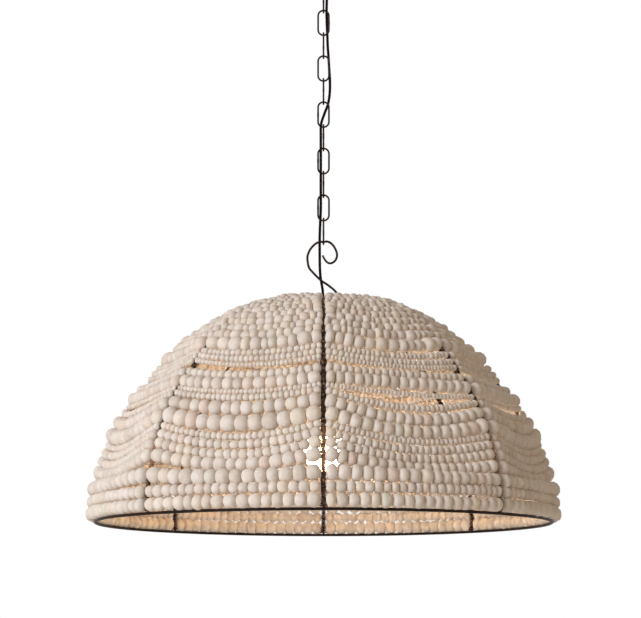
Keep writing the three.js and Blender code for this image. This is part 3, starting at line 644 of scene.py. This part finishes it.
# %% Rows
BEADS = {"seed": 6.5, "pea": 8.5, "small": 11.5, "medium": 13.5, "large": 16, "broad": 17.5, "great": 19.5}
ROWS = [
    ("broad", 0.05, 0.02, 0.02, 0, 0.04), ("medium", 0.08, 0.02, 0.02, 0, 0.1),
    ("broad", 0.31, 0.275, 0.1, 0.45, 0.1), ("large", 0.66, 0.66, 0.53, 1, 0.7),
    ("medium", 0.2, 0.8, 0.69, 1, 0.7), ("small", 0.04, 0.77, 0.72, 1, 0.7),
    ("pea", 0.15, 0.79, 0.73, 1, 0.7), ("great", 0.15, 0.67, 0.82, 1, 0.65),
    ("large", 0.18, 0.56, 0.92, 1, 0.6), ("pea", 0.22, 0.5, 0.8, 1, 0.5),
    ("seed", 0.12, 0.47, 0.29, 1, 0.5), ("large", 0.13, 0.43, 0.1, 0.8, 0.5),
    ("small", 0.31, 0.49, 0.17, 0.8, 0.55), ("seed", 1.04, 0.58, 0.4, 0.9, 0.6),
    ("pea", 0.23, 0.51, 0.49, 0.8, 0.6), ("pea", 0.21, 0.43, 0.53, 0.4, 0.6),
    ("broad", 0.55, 0.48, 0.56, 0.1, 0.6), ("medium", 0.24, 0.42, 0.4, 0.1, 0.6),
    ("medium", 0.24, 0.38, 0.38, 0.1, 0.6), ("medium", 0.24, 0.34, 0.35, 0.1, 0.6),
    ("medium", 0.24, 0.3, 0.32, 0.1, 0.6), ("medium", 0.24, 0.26, 0.27, 0, 0.6),
    ("medium", 0.24, 0.22, 0.22, 0, 0.6), ("medium", 0.24, 0.18, 0.18, 0, 0.6),
    ("medium", 0.24, 0.13, 0.13, 0, 0.6), ("medium", 0.24, 0.09, 0.09, 0, 0.6),
    ("medium", 0.24, 0.06, 0.06, 0, 0.6), ("medium", 0.24, 0.04, 0.04, 0, 0.6),
    ("medium", 0.24, 0.02, 0.02, 0, 0.6),
]
ROWS_PER_STRAND = [2, 2, 3, 3, 3, 4, 4, 4, 4]
CROWN_ROOM = 12.0
SPARE = RIB_LENGTH - CROWN_ROOM - RIM_WIRE / 2 - sum(BEADS[row[0]] for row in ROWS)
WIDEST_GAP = SPARE / sum(row[1] for row in ROWS)
DEEPEST_SWAG, RIB_SLIP = WIDEST_GAP * 2.1, WIDEST_GAP * 0.67
PANEL_SLACK = [1, 0.55, 0.3, 0.6, 0.45, 0.35, 0.5, 0]
RIB_SLIPS = [0, -1.1, 0.2, -0.5, 0.2, -0.4, 0.3, 1]
STRAND_LIFT = RIB_WIRE / 2 + STRAND_WIRE / 2 + CLEARANCE
PULL_POWER = 1.5
REAR_FROM, REAR_TO = 2, 6
REAR_PANELS = list(range(REAR_FROM, REAR_TO))
REAR_SHUT = {11: 1.0, 12: 3.5, 13: -3.5, 14: -1.5}


def row_distances():
    """Where the middle of each row crosses a rib, in mm from the rim: gap and bead added up row by row."""
    edge = RIM_WIRE / 2
    out = []
    for name, gap, *_ in ROWS:
        middle = edge + gap * WIDEST_GAP + BEADS[name] / 2
        edge = middle + BEADS[name] / 2
        out.append(middle)
    return out


ROW_DISTANCE = row_distances()


def row_point(row, panel, share):
    """Centre of a strand at shares across a panel, with its outward direction.
    distance = row + slip - swag x 4 s (1 - s); radius x (1 - chord (1 - cos 22.5) belly ** 1.5). At the rear
    the rows by the wide gap close up by a few mm, so that the gap shows at the front only."""
    _, _, taut, slack, slip_share, chord = ROWS[row]
    share = np.asarray(share, float)
    belly = np.clip(4 * share * (1 - share), 0, 1)
    slips = RIB_SLIPS[panel], RIB_SLIPS[(panel + 1) % RIB_COUNT]
    slip = (slips[0] * (1 - share) + slips[1] * share) * slip_share * RIB_SLIP
    swag = (taut + (slack - taut) * PANEL_SLACK[panel]) * DEEPEST_SWAG
    inside_rear = np.minimum(panel + share - REAR_FROM, REAR_TO - panel - share)
    shut = REAR_SHUT.get(row, 0) * np.clip(2 * inside_rear, 0, 1)
    radius, height, out, rise = rib_place(ROW_DISTANCE[row] + slip - swag * belly + shut)
    radius = radius * (1 - chord * (1 - math.cos(math.pi / RIB_COUNT)) * belly ** PULL_POWER)
    azimuth = rib_azimuth(panel) + 2 * math.pi / RIB_COUNT * share
    outward = np.stack([out * np.cos(azimuth), out * np.sin(azimuth), rise], axis=-1)
    return around(azimuth, radius, height) + outward * STRAND_LIFT, outward


print("rows", len(ROWS), "last at", round(ROW_DISTANCE[-1]), "of", round(RIB_LENGTH), "mm")

# %% [markdown]
# ## How full the rows are
# On the real shade a row's beads are chosen so that they nearly close the room to the next row, and only a
# few slits stay open. So a bead's girth can't come from its row's size alone. The room between neighbouring
# rows is measured at many places across each panel, and each bead grows or shrinks to it. By the ribs, where
# all rows run together, the fill goes higher, and at the unseen rear it goes highest, to keep the light in.

# %% Fill
FILL_SHARES = np.linspace(0, 1, 41)
FILL_GAIN = 1.04
FULL_BY_RIB = (4, 5, 6)
RIB_REACH = 0.07
LOW_ROWS = 3
FRONT_FILL, REAR_FILL, REAR_LOW_FILL = (0.9, 1.2), (1.06, 1.6), 1.18
RIB_EXTRA, FULL_RIB_EXTRA = (0.16, 0.12), (0.5, 0.35)


def row_fill():
    """Girth factor for each row, panel and share: the room to the next row over the sum of their radii, as
    the mean of above and below, kept between a least and a most value for the front or the rear."""
    lines = np.array([[row_point(row, panel, FILL_SHARES)[0] for panel in range(RIB_COUNT)]
                      for row in range(len(ROWS))])
    radii = np.array([BEADS[row[0]] / 2 for row in ROWS])
    apart = np.linalg.norm(lines[1:] - lines[:-1], axis=-1)
    ratio = np.clip(apart / (radii[1:] + radii[:-1])[:, None, None], 0.85, 1.8)
    ends = np.ones_like(ratio[:1])
    below, above = np.concatenate([ends, ratio]), np.concatenate([ratio, ends])
    rows = np.arange(len(ROWS))[:, None, None]
    rear = np.isin(np.arange(RIB_COUNT), REAR_PANELS)[None, :, None]
    full = np.isin(rows, FULL_BY_RIB)
    by_rib = np.exp(-(np.minimum(FILL_SHARES, 1 - FILL_SHARES) / RIB_REACH) ** 2)
    front_least = FRONT_FILL[0] + np.where(full, FULL_RIB_EXTRA[0], RIB_EXTRA[0]) * by_rib
    front_most = FRONT_FILL[1] + np.where(full, FULL_RIB_EXTRA[1], RIB_EXTRA[1]) * by_rib
    least = np.where(rear, np.where(rows < LOW_ROWS, REAR_LOW_FILL, REAR_FILL[0]), front_least)
    most = np.where(rear, REAR_FILL[1], front_most)
    return np.clip((below + above) / 2 * FILL_GAIN, least, most)


ROW_FILL = row_fill()
print("beads grow by", ROW_FILL.min().round(2), "to", ROW_FILL.max().round(2))

# %% [markdown]
# ## Bead shape and clay
# A pressed clay bead is a short drum with round shoulders, flat at its two holes. A sphere would look like
# a pearl, and a cylinder with a Bevel modifier costs too many faces for thousands of beads. The template is a
# grid of rings about its bore, on the curve |x| ** n + r ** n = 1 with n = 2.6, in 144 triangles. The clay
# is fired and unglazed: matt, cream to grey with some pink, each bead in its own tint from a number stored
# on its points. Its grain is 1 mm, its pits 1.5 mm and its clouds 6 mm wide. Real grain is finer, and drawn
# as coarse as a pixel can show.

# %% Clay
GRAIN_SCALE, PIT_SCALE, CLOUD_SCALE = 900.0, 650.0, 160.0
CLAY_TINTS = [(0.0, "#DED5CD"), (0.12, "#E6DED7"), (0.35, "#ECE5E0"), (0.62, "#F0E9E4"), (0.8, "#EEE6DA"),
              (0.9, "#ECDDD5"), (1.0, "#E1DFD5")]


def clay_finish():
    """The bead's own tint, darkened a little by grain and clouds, with pits as a bump."""
    made, tree, shader, place = material("clay_bead")
    tone = add(tree, "ShaderNodeAttribute", {"attribute_name": "bead_tone"})
    tint = add(tree, "ShaderNodeValToRGB", {"stops": CLAY_TINTS}, {"Fac": (tone, "Fac")})
    grain = add(tree, "ShaderNodeTexNoise", inputs={"Vector": place, "Scale": GRAIN_SCALE, "Detail": 3.0})
    cloud = add(tree, "ShaderNodeTexNoise", inputs={"Vector": place, "Scale": CLOUD_SCALE, "Detail": 2.0})
    speck = add(tree, "ShaderNodeValToRGB", {"stops": [(0.3, "#DAD0C8"), (0.5, "#FFFFFF")]},
                {"Fac": (grain, "Fac")})
    soft = add(tree, "ShaderNodeValToRGB", {"stops": [(0.3, "#E8E0D8"), (0.7, "#FFFFFF")]},
               {"Fac": (cloud, "Fac")})
    one = add(tree, "ShaderNodeMix", MULTIPLY, {"Factor": 0.35, "A": (tint, "Color"), "B": (speck, "Color")})
    two = add(tree, "ShaderNodeMix", MULTIPLY, {"Factor": 0.5, "A": (one, 2), "B": (soft, "Color")})
    tree.links.new(two.outputs[2], shader.inputs["Base Color"])
    pits = add(tree, "ShaderNodeTexNoise", inputs={"Vector": place, "Scale": PIT_SCALE, "Detail": 4.0})
    bump = add(tree, "ShaderNodeBump", inputs={"Strength": 0.35, "Distance": 0.0004, "Height": (pits, "Fac")})
    tree.links.new(bump.outputs[0], shader.inputs["Normal"])
    shader.inputs["Roughness"].default_value = 0.82
    shader.inputs["Specular IOR Level"].default_value = 0.25
    return made


CLAY = clay_finish()
print("made", CLAY.name)

# %% Bead template
RINGS, SIDES = 7, 12
SHOULDER = 2 / 2.6


def bead_template():
    """Points (along, out, up) of a bead of radius 1 and half length 1, and its triangles. The grid of rings
    is closed by a fan round a point on the bore at each end."""
    turn = np.linspace(0, np.pi, RINGS + 1)[1:-1]
    x = -np.sign(np.cos(turn)) * np.abs(np.cos(turn)) ** SHOULDER
    radius = np.sin(turn) ** SHOULDER
    side = circle(SIDES)
    rings = np.stack([np.repeat(x, SIDES),
                      (radius[:, None] * np.cos(side)).ravel(),
                      (radius[:, None] * np.sin(side)).ravel()], axis=1)
    points = np.concatenate([rings, [[-1, 0, 0], [1, 0, 0]]])
    quads = grid_faces(RINGS - 1, SIDES)[:, ::-1]
    low, high = len(points) - 2, len(points) - 1
    ring = np.arange(SIDES)
    after = (ring + 1) % SIDES
    base = (RINGS - 2) * SIDES
    first = np.stack([np.full(SIDES, low), ring, after], axis=1)
    last = np.stack([np.full(SIDES, high), base + after, base + ring], axis=1)
    return points, np.concatenate([quads[:, [0, 1, 2]], quads[:, [0, 2, 3]], first, last])


BEAD_POINTS, BEAD_FACES = bead_template()
print("a bead has", len(BEAD_POINTS), "points and", len(BEAD_FACES), "faces")

# %% [markdown]
# ## Placing the beads
# Between two ribs a row has room for a whole number of beads, less a gap at each rib for the binding. Their
# lengths are drawn a little unequal and scaled to fill the room. Near the crown the real beads are the most
# uneven and stand in no neat rows, so there the lengths and girths differ more and the centres stray in and
# out, up and down. A particle system could scatter beads, but it wouldn't string them.

# %% Beads of one row in one panel
LASHING_ROOMS = [3.3, 3.2, 3.3, 3.4, 3.4, 3.4, 3.2, 2.7]
CROWN_FIRST_ROW, CROWN_BLEND_ROWS = 13, 4
SLIM_PANELS = {0: 0.88, 1: 0.94}
CROWN_STRAY_OUT, CROWN_STRAY_UP = 1.6, 1.8


def spread(key, seed, width):
    """A fixed number for each key, from minus to plus half of width."""
    return (hashed(key, seed) - 0.5) * width


def crown_share(row):
    """0 for the lower rows, rising to 1 for the rows of the crown."""
    return min(max((row - CROWN_FIRST_ROW) / CROWN_BLEND_ROWS, 0), 1)


def lashing_room(row, rib):
    """The gap in mm that a row leaves beside a rib."""
    high = crown_share(row)
    return LASHING_ROOMS[rib % RIB_COUNT] - 1.3 * high + spread(row + 40 * rib, 21, 0.8 + 1.4 * high)


def closeness(row, panel):
    """How long a bead is on its wire, as a share of its size: shorter towards the crown, and in the panels
    where the photo shows narrow beads."""
    share = 0.77 if row < LOW_ROWS and panel in REAR_PANELS else 0.85 - 0.11 * min(row / 18, 1)
    return share * SLIM_PANELS.get(panel, 1)


def bead_row(row, panel):
    """Keys, centres, axes, half lengths and radii of the beads of one row in one panel, from rib to rib."""
    size = BEADS[ROWS[row][0]]
    high = crown_share(row)
    fill = ROW_FILL[row, panel]
    shares = np.linspace(0, 1, 161)
    path, _ = row_point(row, panel, shares)
    run = np.concatenate([[0], np.cumsum(np.linalg.norm(np.diff(path, axis=0), axis=1))])
    rooms = lashing_room(row, panel), lashing_room(row, panel + 1)
    room = run[-1] - sum(rooms)
    count = max(1, int(round(room / (size * closeness(row, panel) * np.mean(fill)))))
    order = np.arange(count)
    key = order + 1000 * row + 97 * panel
    weights = (1 + spread(key, 1, 0.3 + 0.4 * high)) * np.interp((order + 0.5) / count, FILL_SHARES, fill)
    lengths = weights / weights.sum() * room
    at = np.interp(rooms[0] + np.cumsum(lengths) - lengths / 2, run, shares)
    centre, outward = row_point(row, panel, at)
    ahead, _ = row_point(row, panel, np.clip(at + 0.004, 0, 1))
    behind, _ = row_point(row, panel, np.clip(at - 0.004, 0, 1))
    along = unit(ahead - behind)
    outward = unit(outward - np.sum(outward * along, axis=1, keepdims=True) * along)
    girth = size / 2 * np.interp(at, FILL_SHARES, fill) * (1 + spread(key, 3, 0.14 + 0.24 * high))
    centre = centre + spread(key, 11, CROWN_STRAY_OUT * high)[:, None] * outward
    centre = centre + spread(key, 12, CROWN_STRAY_UP * high)[:, None] * np.cross(along, outward)
    pressed = 1.07 if row < LOW_ROWS and panel in REAR_PANELS else 1.03
    return key, centre, along, outward, lengths / 2 * pressed, girth


print("the lowest row has", len(bead_row(0, 0)[0]), "beads in its first panel")

# %% [markdown]
# ## Strands of beads
# Nine strands carry the twenty-nine rows. All beads of a strand are one mesh: the template's points are
# multiplied out by every bead's length, girth, tilt, turn and lumps in one array expression. Instances would
# be lighter still, but each of these beads has a shape of its own. The widest beads are pressed in a little,
# so that none stands out past the rim.

# %% Bead meshes
RIM_REACH = max(abs(value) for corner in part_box("bead_strand_1") for value in tuple(corner)[:2]) / MM - 0.3
PRESS = 1.5
TILT, OVAL, KNOB, LEAN = 0.28, 0.035, 0.03, 0.07
LUMP_TURN = 6.28


def inside_rim(points):
    """Beyond start = reach - press the radius grows only as press x tanh(excess / press)."""
    radius = np.hypot(points[..., 0], points[..., 1])
    start = RIM_REACH - PRESS
    excess = np.maximum(radius - start, 0)
    pressed = np.where(excess > 0, start + PRESS * np.tanh(excess / PRESS), radius) / radius
    return points * np.stack([pressed, pressed, np.ones_like(pressed)], axis=-1)


def bead_verts(key, centre, along, out, half, girth):
    """Point = centre + half x axis + r (u side + v other). The axis leans off the wire by up to 8 degrees each
    way, side is turned about it by a drawn angle, and r swells with 2 and 3 lumps round the bead."""
    up = np.cross(along, out)
    axis = unit(along + spread(key, 6, TILT)[:, None] * out + spread(key, 7, TILT)[:, None] * up)
    spin = hashed(key, 5) * 2 * np.pi
    side = np.cos(spin)[:, None] * out + np.sin(spin)[:, None] * up
    side = unit(side - np.sum(side * axis, axis=1, keepdims=True) * axis)
    other = np.cross(axis, side)
    x, u, v = BEAD_POINTS.T[:, None]
    turn = np.arctan2(v, u)
    oval = OVAL * np.sin(2 * turn + LUMP_TURN * hashed(key, 8)[:, None])
    knob = KNOB * np.sin(3 * turn + 2.4 * x + LUMP_TURN * hashed(key, 9)[:, None])
    r = girth[:, None] * (1 + oval + knob + spread(key, 10, LEAN)[:, None] * x)
    return inside_rim(centre[:, None]
                      + (half[:, None] * x)[..., None] * axis[:, None]
                      + (r * u)[..., None] * side[:, None]
                      + (r * v)[..., None] * other[:, None])


def make_strand(index, rows):
    """All beads of some rows as one piece, each with its tint's number on its points."""
    panels = [bead_row(row, panel) for row in rows for panel in range(RIB_COUNT)]
    beads = [np.concatenate(column) for column in zip(*panels)]
    count = len(beads[0])
    verts = bead_verts(*beads).reshape(-1, 3)
    faces = (BEAD_FACES[None] + (np.arange(count) * len(BEAD_POINTS))[:, None, None]).reshape(-1, 3)
    piece = new_object(f"clay_beads_{index}", verts * MM, faces, CLAY, sides=3)
    tone = np.repeat(hashed(beads[0], 11), len(BEAD_POINTS)).astype(np.float32)
    piece.data.attributes.new("bead_tone", "FLOAT", "POINT").data.foreach_set("value", tone)
    put(piece, "shade", "beads", f"bead_strand_{index}")
    return count


def make_strand_wire(index, rows):
    """The wire of a strand: through the beads of each panel, over every rib and up a row at the rear."""
    shares = np.linspace(0.012, 0.988, 15)
    path = [row_point(row, (RIB_COUNT // 2 + step) % RIB_COUNT, shares)[0]
            for row in rows for step in range(RIB_COUNT)]
    wire = tube(f"strand_wire_{index}", np.concatenate(path), STRAND_WIRE / 2, (0, 0, 1), RIB_IRON, 6)
    put(wire, "shade", "iron")


print("beads stay within", round(RIM_REACH, 1), "mm of the axis")

# %% Nine strands
def make_strands():
    """Strand by strand from the rim up."""
    first, total = 0, 0
    for index, count in enumerate(ROWS_PER_STRAND, start=1):
        rows = range(first, first + count)
        total += make_strand(index, rows)
        make_strand_wire(index, rows)
        first += count
    return total


bead_total = make_strands()
print("beads", bead_total, "faces", bead_total * len(BEAD_FACES))

# %% [markdown]
# ## Rings, ribs and bindings
# Rim and crown are rings of rod, and the ribs are rods with thin wire wound round them, knotted where a
# strand is tied. In the photo that winding makes the ribs look rough and dark between the beads. A bump
# could suggest it, but the outline would stay smooth, so the wire is real: a helix with a pitch of 2.6 mm that
# opens and closes a little. The rim's radius wavers by some tenths of a millimetre, as a hand-bent ring's does.

# %% Rings and ribs
RIM_RADIUS, CROWN_ROD_RADIUS, ROD_RADIUS = 2.03, 2.25, 1.95
RIB_STEPS = 120


def make_rings():
    """The rim and the crown ring, as closed tubes."""
    turn = circle(192)
    waver = 0.25 * np.sin(5 * turn + 1) + 0.15 * np.sin(11 * turn)
    rim = around(turn, RING_RADIUS + waver, RING_Z / MM)
    put(tube("rim_rod", rim, RIM_RADIUS, (0, 0, 1), IRON, 14, True), "shade", "iron", "rim_ring")
    crown = around(circle(64), CROWN_RADIUS, CROWN_Z / MM)
    put(tube("crown_rod", crown, CROWN_ROD_RADIUS, (0, 0, 1), IRON, 14, True), "shade", "iron", "crown_ring")


def make_rib(rib):
    """The rod of a rib, from ring to ring."""
    azimuth = rib_azimuth(rib)
    radius, height, _, _ = rib_place(np.linspace(2.4, RIB_LENGTH - 2.4, RIB_STEPS))
    points = around(np.full(RIB_STEPS, azimuth), radius, height)
    tangent = (-math.sin(azimuth), math.cos(azimuth), 0)
    rod = tube(f"rib_rod_{rib + 1}", points, ROD_RADIUS, tangent, RIB_IRON, 12)
    put(rod, "shade", "iron", f"rib_{rib + 1}")


make_rings()
print("rim", 2 * RING_RADIUS, "mm, crown", 2 * CROWN_RADIUS, "mm across")

# %% Binding wire
BINDING_RADIUS, BINDING_PITCH, BINDING_STEPS = 0.95, 2.6, 2600
KNOT_REACH, RIM_KNOT, RIM_KNOT_REACH = 2.8, 2.2, 4
BINDING_START = 3


def knot_sizes(rib, distance):
    """Height of the knots along a rib: a bell curve where each strand is tied, and a large one at the rim."""
    knots = RIM_KNOT * np.exp(-((distance - BINDING_START) / RIM_KNOT_REACH) ** 2)
    for row, middle in enumerate(ROW_DISTANCE):
        slip = RIB_SLIPS[rib] * ROWS[row][4] * RIB_SLIP
        size = 0.5 + 1.1 * hashed(row + 31 * rib, 23)
        knots = np.maximum(knots, size * np.exp(-((distance - middle - slip) / KNOT_REACH) ** 2))
    return knots


def make_binding(rib):
    """Wire wound round a rib: angle = 2 pi distance / pitch and a slow sine, radius = rod + swell at knots."""
    azimuth = rib_azimuth(rib)
    distance = np.linspace(BINDING_START, RIB_LENGTH - 5, BINDING_STEPS)
    radius, height, out, rise = rib_place(distance)
    swell = 0.7 + 0.9 * knot_sizes(rib, distance) + 0.35 * np.sin(distance * 0.37 + rib) ** 2
    angle = 2 * np.pi * distance / BINDING_PITCH + 0.9 * np.sin(distance * 0.21 + 2 * rib)
    reach = (ROD_RADIUS + swell)[:, None]
    tangent = np.array([-math.sin(azimuth), math.cos(azimuth), 0])
    outward = np.stack([out * math.cos(azimuth), out * math.sin(azimuth), rise], axis=1)
    rib_line = around(np.full(BINDING_STEPS, azimuth), radius, height)
    points = rib_line + reach * np.cos(angle)[:, None] * outward + reach * np.sin(angle)[:, None] * tangent
    wound = tube(f"binding_wire_{rib + 1}", points, BINDING_RADIUS, (0.01, 0.02, 1), RIB_IRON, 5)
    put(wound, "shade", "iron")


for rib in range(RIB_COUNT):
    make_rib(rib)
    make_binding(rib)
print("ribs", RIB_COUNT, "with", round(RIB_LENGTH / BINDING_PITCH), "turns of wire each")

# %% [markdown]
# ## Lamp holder and bulb
# Inside the dome a stem hangs from the crown strap and carries a moulded cap, a porcelain body with its brass
# screw shell, and a lit bulb. They show only from below and as light between the beads. All are turned
# profiles. A rolled thread isn't a true helix here but a row of rings, which nobody can tell apart on a part
# this small. The bulb's glow comes from its own surface, so it lights the beads from inside as the real one
# does. Its ball is bright round the filament and its neck dim, or every chink above it would shine white.

# %% Glow
BALL_TOP, NECK_FROM = 118 * MM, 130 * MM
BALL_STRENGTH, NECK_STRENGTH = 52.0, 0.7


def glow_finish():
    """Frosted glass of a lit bulb: the emission falls with height from the ball's to the neck's."""
    made, tree, shader, place = material("lit_frosted_glass")
    height = add(tree, "ShaderNodeSeparateXYZ", inputs={"Vector": place})
    fade = add(tree, "ShaderNodeMapRange", inputs={
        "Value": (height, "Z"), "From Min": RING_Z + BALL_TOP, "From Max": RING_Z + NECK_FROM,
        "To Min": BALL_STRENGTH, "To Max": NECK_STRENGTH})
    noise = add(tree, "ShaderNodeTexNoise", inputs={"Vector": place, "Scale": 20.0, "Detail": 1.0})
    tint = add(tree, "ShaderNodeValToRGB", {"stops": [(0.2, "#FFD39C"), (0.8, "#FFD9A9")]},
               {"Fac": (noise, "Fac")})
    tree.links.new(tint.outputs[0], shader.inputs["Emission Color"])
    tree.links.new(fade.outputs[0], shader.inputs["Emission Strength"])
    shader.inputs["Base Color"].default_value = linear("#FFF4E2")
    shader.inputs["Roughness"].default_value = 0.35
    return made


GLOW = glow_finish()
print("made", GLOW.name)

# %% Lamp holder
STRAP_TOP = CROWN_Z / MM + 1.25
STEM_TOP = STRAP_TOP + 6.5
STEM_BOTTOM = STEM_TOP - 116
CAP_TOP = STEM_BOTTOM + 9
CAP_BOTTOM = CAP_TOP - 20
BODY_TOP = CAP_BOTTOM - 0.3
BODY_BOTTOM = BODY_TOP - 40
BODY_FLOOR = BODY_TOP - 7
SHELL_TOP, SHELL_HEIGHT = BODY_TOP - 7.3, 24


def thread(radius, depth, bottom, top, pitch=3.6):
    """Profile of a rolled thread, as rings: radius - depth (1 + cos(2 pi z / pitch)) / 2."""
    z = np.arange(bottom, top, pitch / 8)
    return np.stack([radius - depth * (1 + np.cos(2 * np.pi * (z - bottom) / pitch)) / 2, z], axis=1)


def make_stem():
    """A drawn pipe and its nut on the crown strap, which keeps its solid."""
    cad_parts["crown_strap"].material_slots[0].material = IRON
    stem = [(3.5, STEM_BOTTOM), (5, STEM_BOTTOM), (5, STEM_TOP), (3.5, STEM_TOP)]
    put(lathe("stem_drawn", stem, IRON, 32, True), "shade", "iron", "stem_pipe")
    low, high = STRAP_TOP + 0.3, STRAP_TOP + 5.3
    nut = [(5.3, low), (9, low), (9, high), (5.3, high)]
    put(lathe("stem_nut_turned", nut, IRON, 12, True), "shade", "iron", "stem_nut")


def make_holder():
    """Cap, porcelain body and screw shell."""
    turn_at = CAP_TOP - 6
    cap = [(20, CAP_BOTTOM), (20, turn_at - 6), (18, turn_at - 2), (9, turn_at), (9, CAP_TOP), (5.3, CAP_TOP),
           (5.3, turn_at - 1.5), (17, turn_at - 4), (18.5, turn_at - 7.5), (18.5, CAP_BOTTOM)]
    put(lathe("holder_cap_moulded", cap, BLACK_PLASTIC, 64, True), "shade", "black_plastic", "holder_cap")
    body = [(0, BODY_TOP), (18.5, BODY_TOP), (18.5, BODY_BOTTOM), (14.25, BODY_BOTTOM), (14.25, BODY_FLOOR),
            (0, BODY_FLOOR)]
    put(lathe("holder_porcelain", rounded(body, 1.2), PORCELAIN, 64), "shade", "porcelain", "holder_body")
    outer, inner = (thread(radius, 0.25, SHELL_TOP - SHELL_HEIGHT, SHELL_TOP) for radius in (13.95, 13.5))
    shell = np.concatenate([outer, inner[::-1]])
    put(lathe("screw_shell", shell, BRASS, 48, True), "shade", "brass", "holder_thread")


make_stem()
make_holder()
print("holder from", round(CAP_TOP), "to", round(BODY_BOTTOM), "mm")

# %% Bulb
BASE_BOTTOM = BODY_BOTTOM - 0.3
BASE_TOP = BASE_BOTTOM + 26
GLASS_TOP = BASE_BOTTOM - 0.3
BALL_RADIUS, BULB_LENGTH = 30, 82


def make_bulb():
    """A rolled base with its contact, and a ball of glass that runs into a neck."""
    base = np.concatenate([[(0, BASE_BOTTOM)], thread(13, 0.6, BASE_BOTTOM, BASE_TOP - 3), [
        (11, BASE_TOP - 1), (5, BASE_TOP), (5, BASE_TOP + 2.3), (4, BASE_TOP + 2.5), (0, BASE_TOP + 2.5)]])
    put(lathe("bulb_base_rolled", base, BRASS, 48), "bulb", "brass", "bulb_base")
    middle = GLASS_TOP - BULB_LENGTH + BALL_RADIUS
    arc = np.linspace(0.3 * np.pi, -np.pi / 2, 30)
    ball = np.stack([BALL_RADIUS * np.cos(arc), middle + BALL_RADIUS * np.sin(arc)], axis=1)
    ball[-1, 0] = 0
    neck = catmull([(13.4, GLASS_TOP), (13.5, GLASS_TOP - 10), (14.6, GLASS_TOP - 18), tuple(ball[0])], 6)[:-1]
    glass = np.concatenate([[(0, GLASS_TOP), (12.9, GLASS_TOP)], neck, ball])
    put(lathe("bulb_frosted", glass, GLOW, 64), "bulb", "bulb_glass", "bulb_glass")
    return middle


print("bulb's middle at", round(make_bulb()), "mm")

# %% [markdown]
# ## Studio
# The photo has a soft light from the left, a weak warm one from the right, and a dim room. So there is a wide
# disk as key, a weak one as fill, and an even world that lifts the shadows. A backdrop could be white from
# more light, but that would wash out the beads. Instead the world shows white only to camera, glossy and
# transmission rays. The floor lies well below, as under a hung lamp.

# %% Lights
LIGHTS = {
    "key": ((-2.4, -2.4, RING_Z + 0.8), 83, "#F9FBFF"),
    "fill": ((2.6, -2.4, RING_Z + 0.2), 4, "#FFD3A4"),
}
LIGHT_SIZE = 2.4
AIM = np.array((0, 0, RING_Z + 0.15))


def area_light(name, place, power, colour):
    """A disk of light turned to face the middle of the shade: tilt = acos(-z), turn = atan2(y, x) - 90."""
    data = bpy.data.lights.new(name, "AREA")
    data.shape = "DISK"
    data.size = LIGHT_SIZE
    data.energy = power
    data.color = linear(colour)[:3]
    made = bpy.data.objects.new(name, data)
    made.location = place
    aim = AIM - np.array(place)
    aim = aim / np.linalg.norm(aim)
    made.rotation_euler = (math.acos(-aim[2]), 0, math.atan2(aim[1], aim[0]) - math.pi / 2)
    bpy.context.scene.collection.objects.link(made)


for name, settings in LIGHTS.items():
    area_light(name, *settings)
print("lights", len(LIGHTS))

# %% World and floor
AMBIENT_COLOUR, AMBIENT_STRENGTH = "#F8E4CB", 0.355
FLOOR_HALF, FLOOR_DROP = 6.0, 1.2


def make_world():
    """Warm grey for lighting, plain white where the eye or a mirror looks past the lamp."""
    world = bpy.data.worlds.new("studio")
    bpy.context.scene.world = world
    world.use_nodes = True
    tree = world.node_tree
    tree.nodes.clear()
    path = add(tree, "ShaderNodeLightPath")
    seen = add(tree, "ShaderNodeMath", {"operation": "MAXIMUM"},
               {0: (path, "Is Camera Ray"), 1: (path, "Is Glossy Ray")})
    seen = add(tree, "ShaderNodeMath", {"operation": "MAXIMUM"},
               {0: (seen, 0), 1: (path, "Is Transmission Ray")})
    ambient = add(tree, "ShaderNodeBackground", inputs={
        "Color": linear(AMBIENT_COLOUR), "Strength": AMBIENT_STRENGTH})
    white = add(tree, "ShaderNodeBackground", inputs={"Color": linear("#FFFFFF"), "Strength": 1.0})
    mixed = add(tree, "ShaderNodeMixShader", inputs={0: (seen, 0), 1: (ambient, 0), 2: (white, 0)})
    output = add(tree, "ShaderNodeOutputWorld")
    tree.links.new(mixed.outputs[0], output.inputs[0])


def make_floor():
    """One large pale square, part of the stage and not of the lamp."""
    half, drop = FLOOR_HALF, RING_Z - FLOOR_DROP
    verts = [(-half, -half, drop), (half, -half, drop), (half, half, drop), (-half, half, drop)]
    finish = plain_finish("pale_floor", "#EFEDEA", "#F3F1EE", 0.8, grain=3.0)
    new_object("floor", verts, [(0, 1, 2, 3)], finish, smooth=False)


make_world()
make_floor()
bpy.context.scene.view_settings.view_transform = "Standard"
print("floor", round(FLOOR_DROP, 1), "m below the rim")
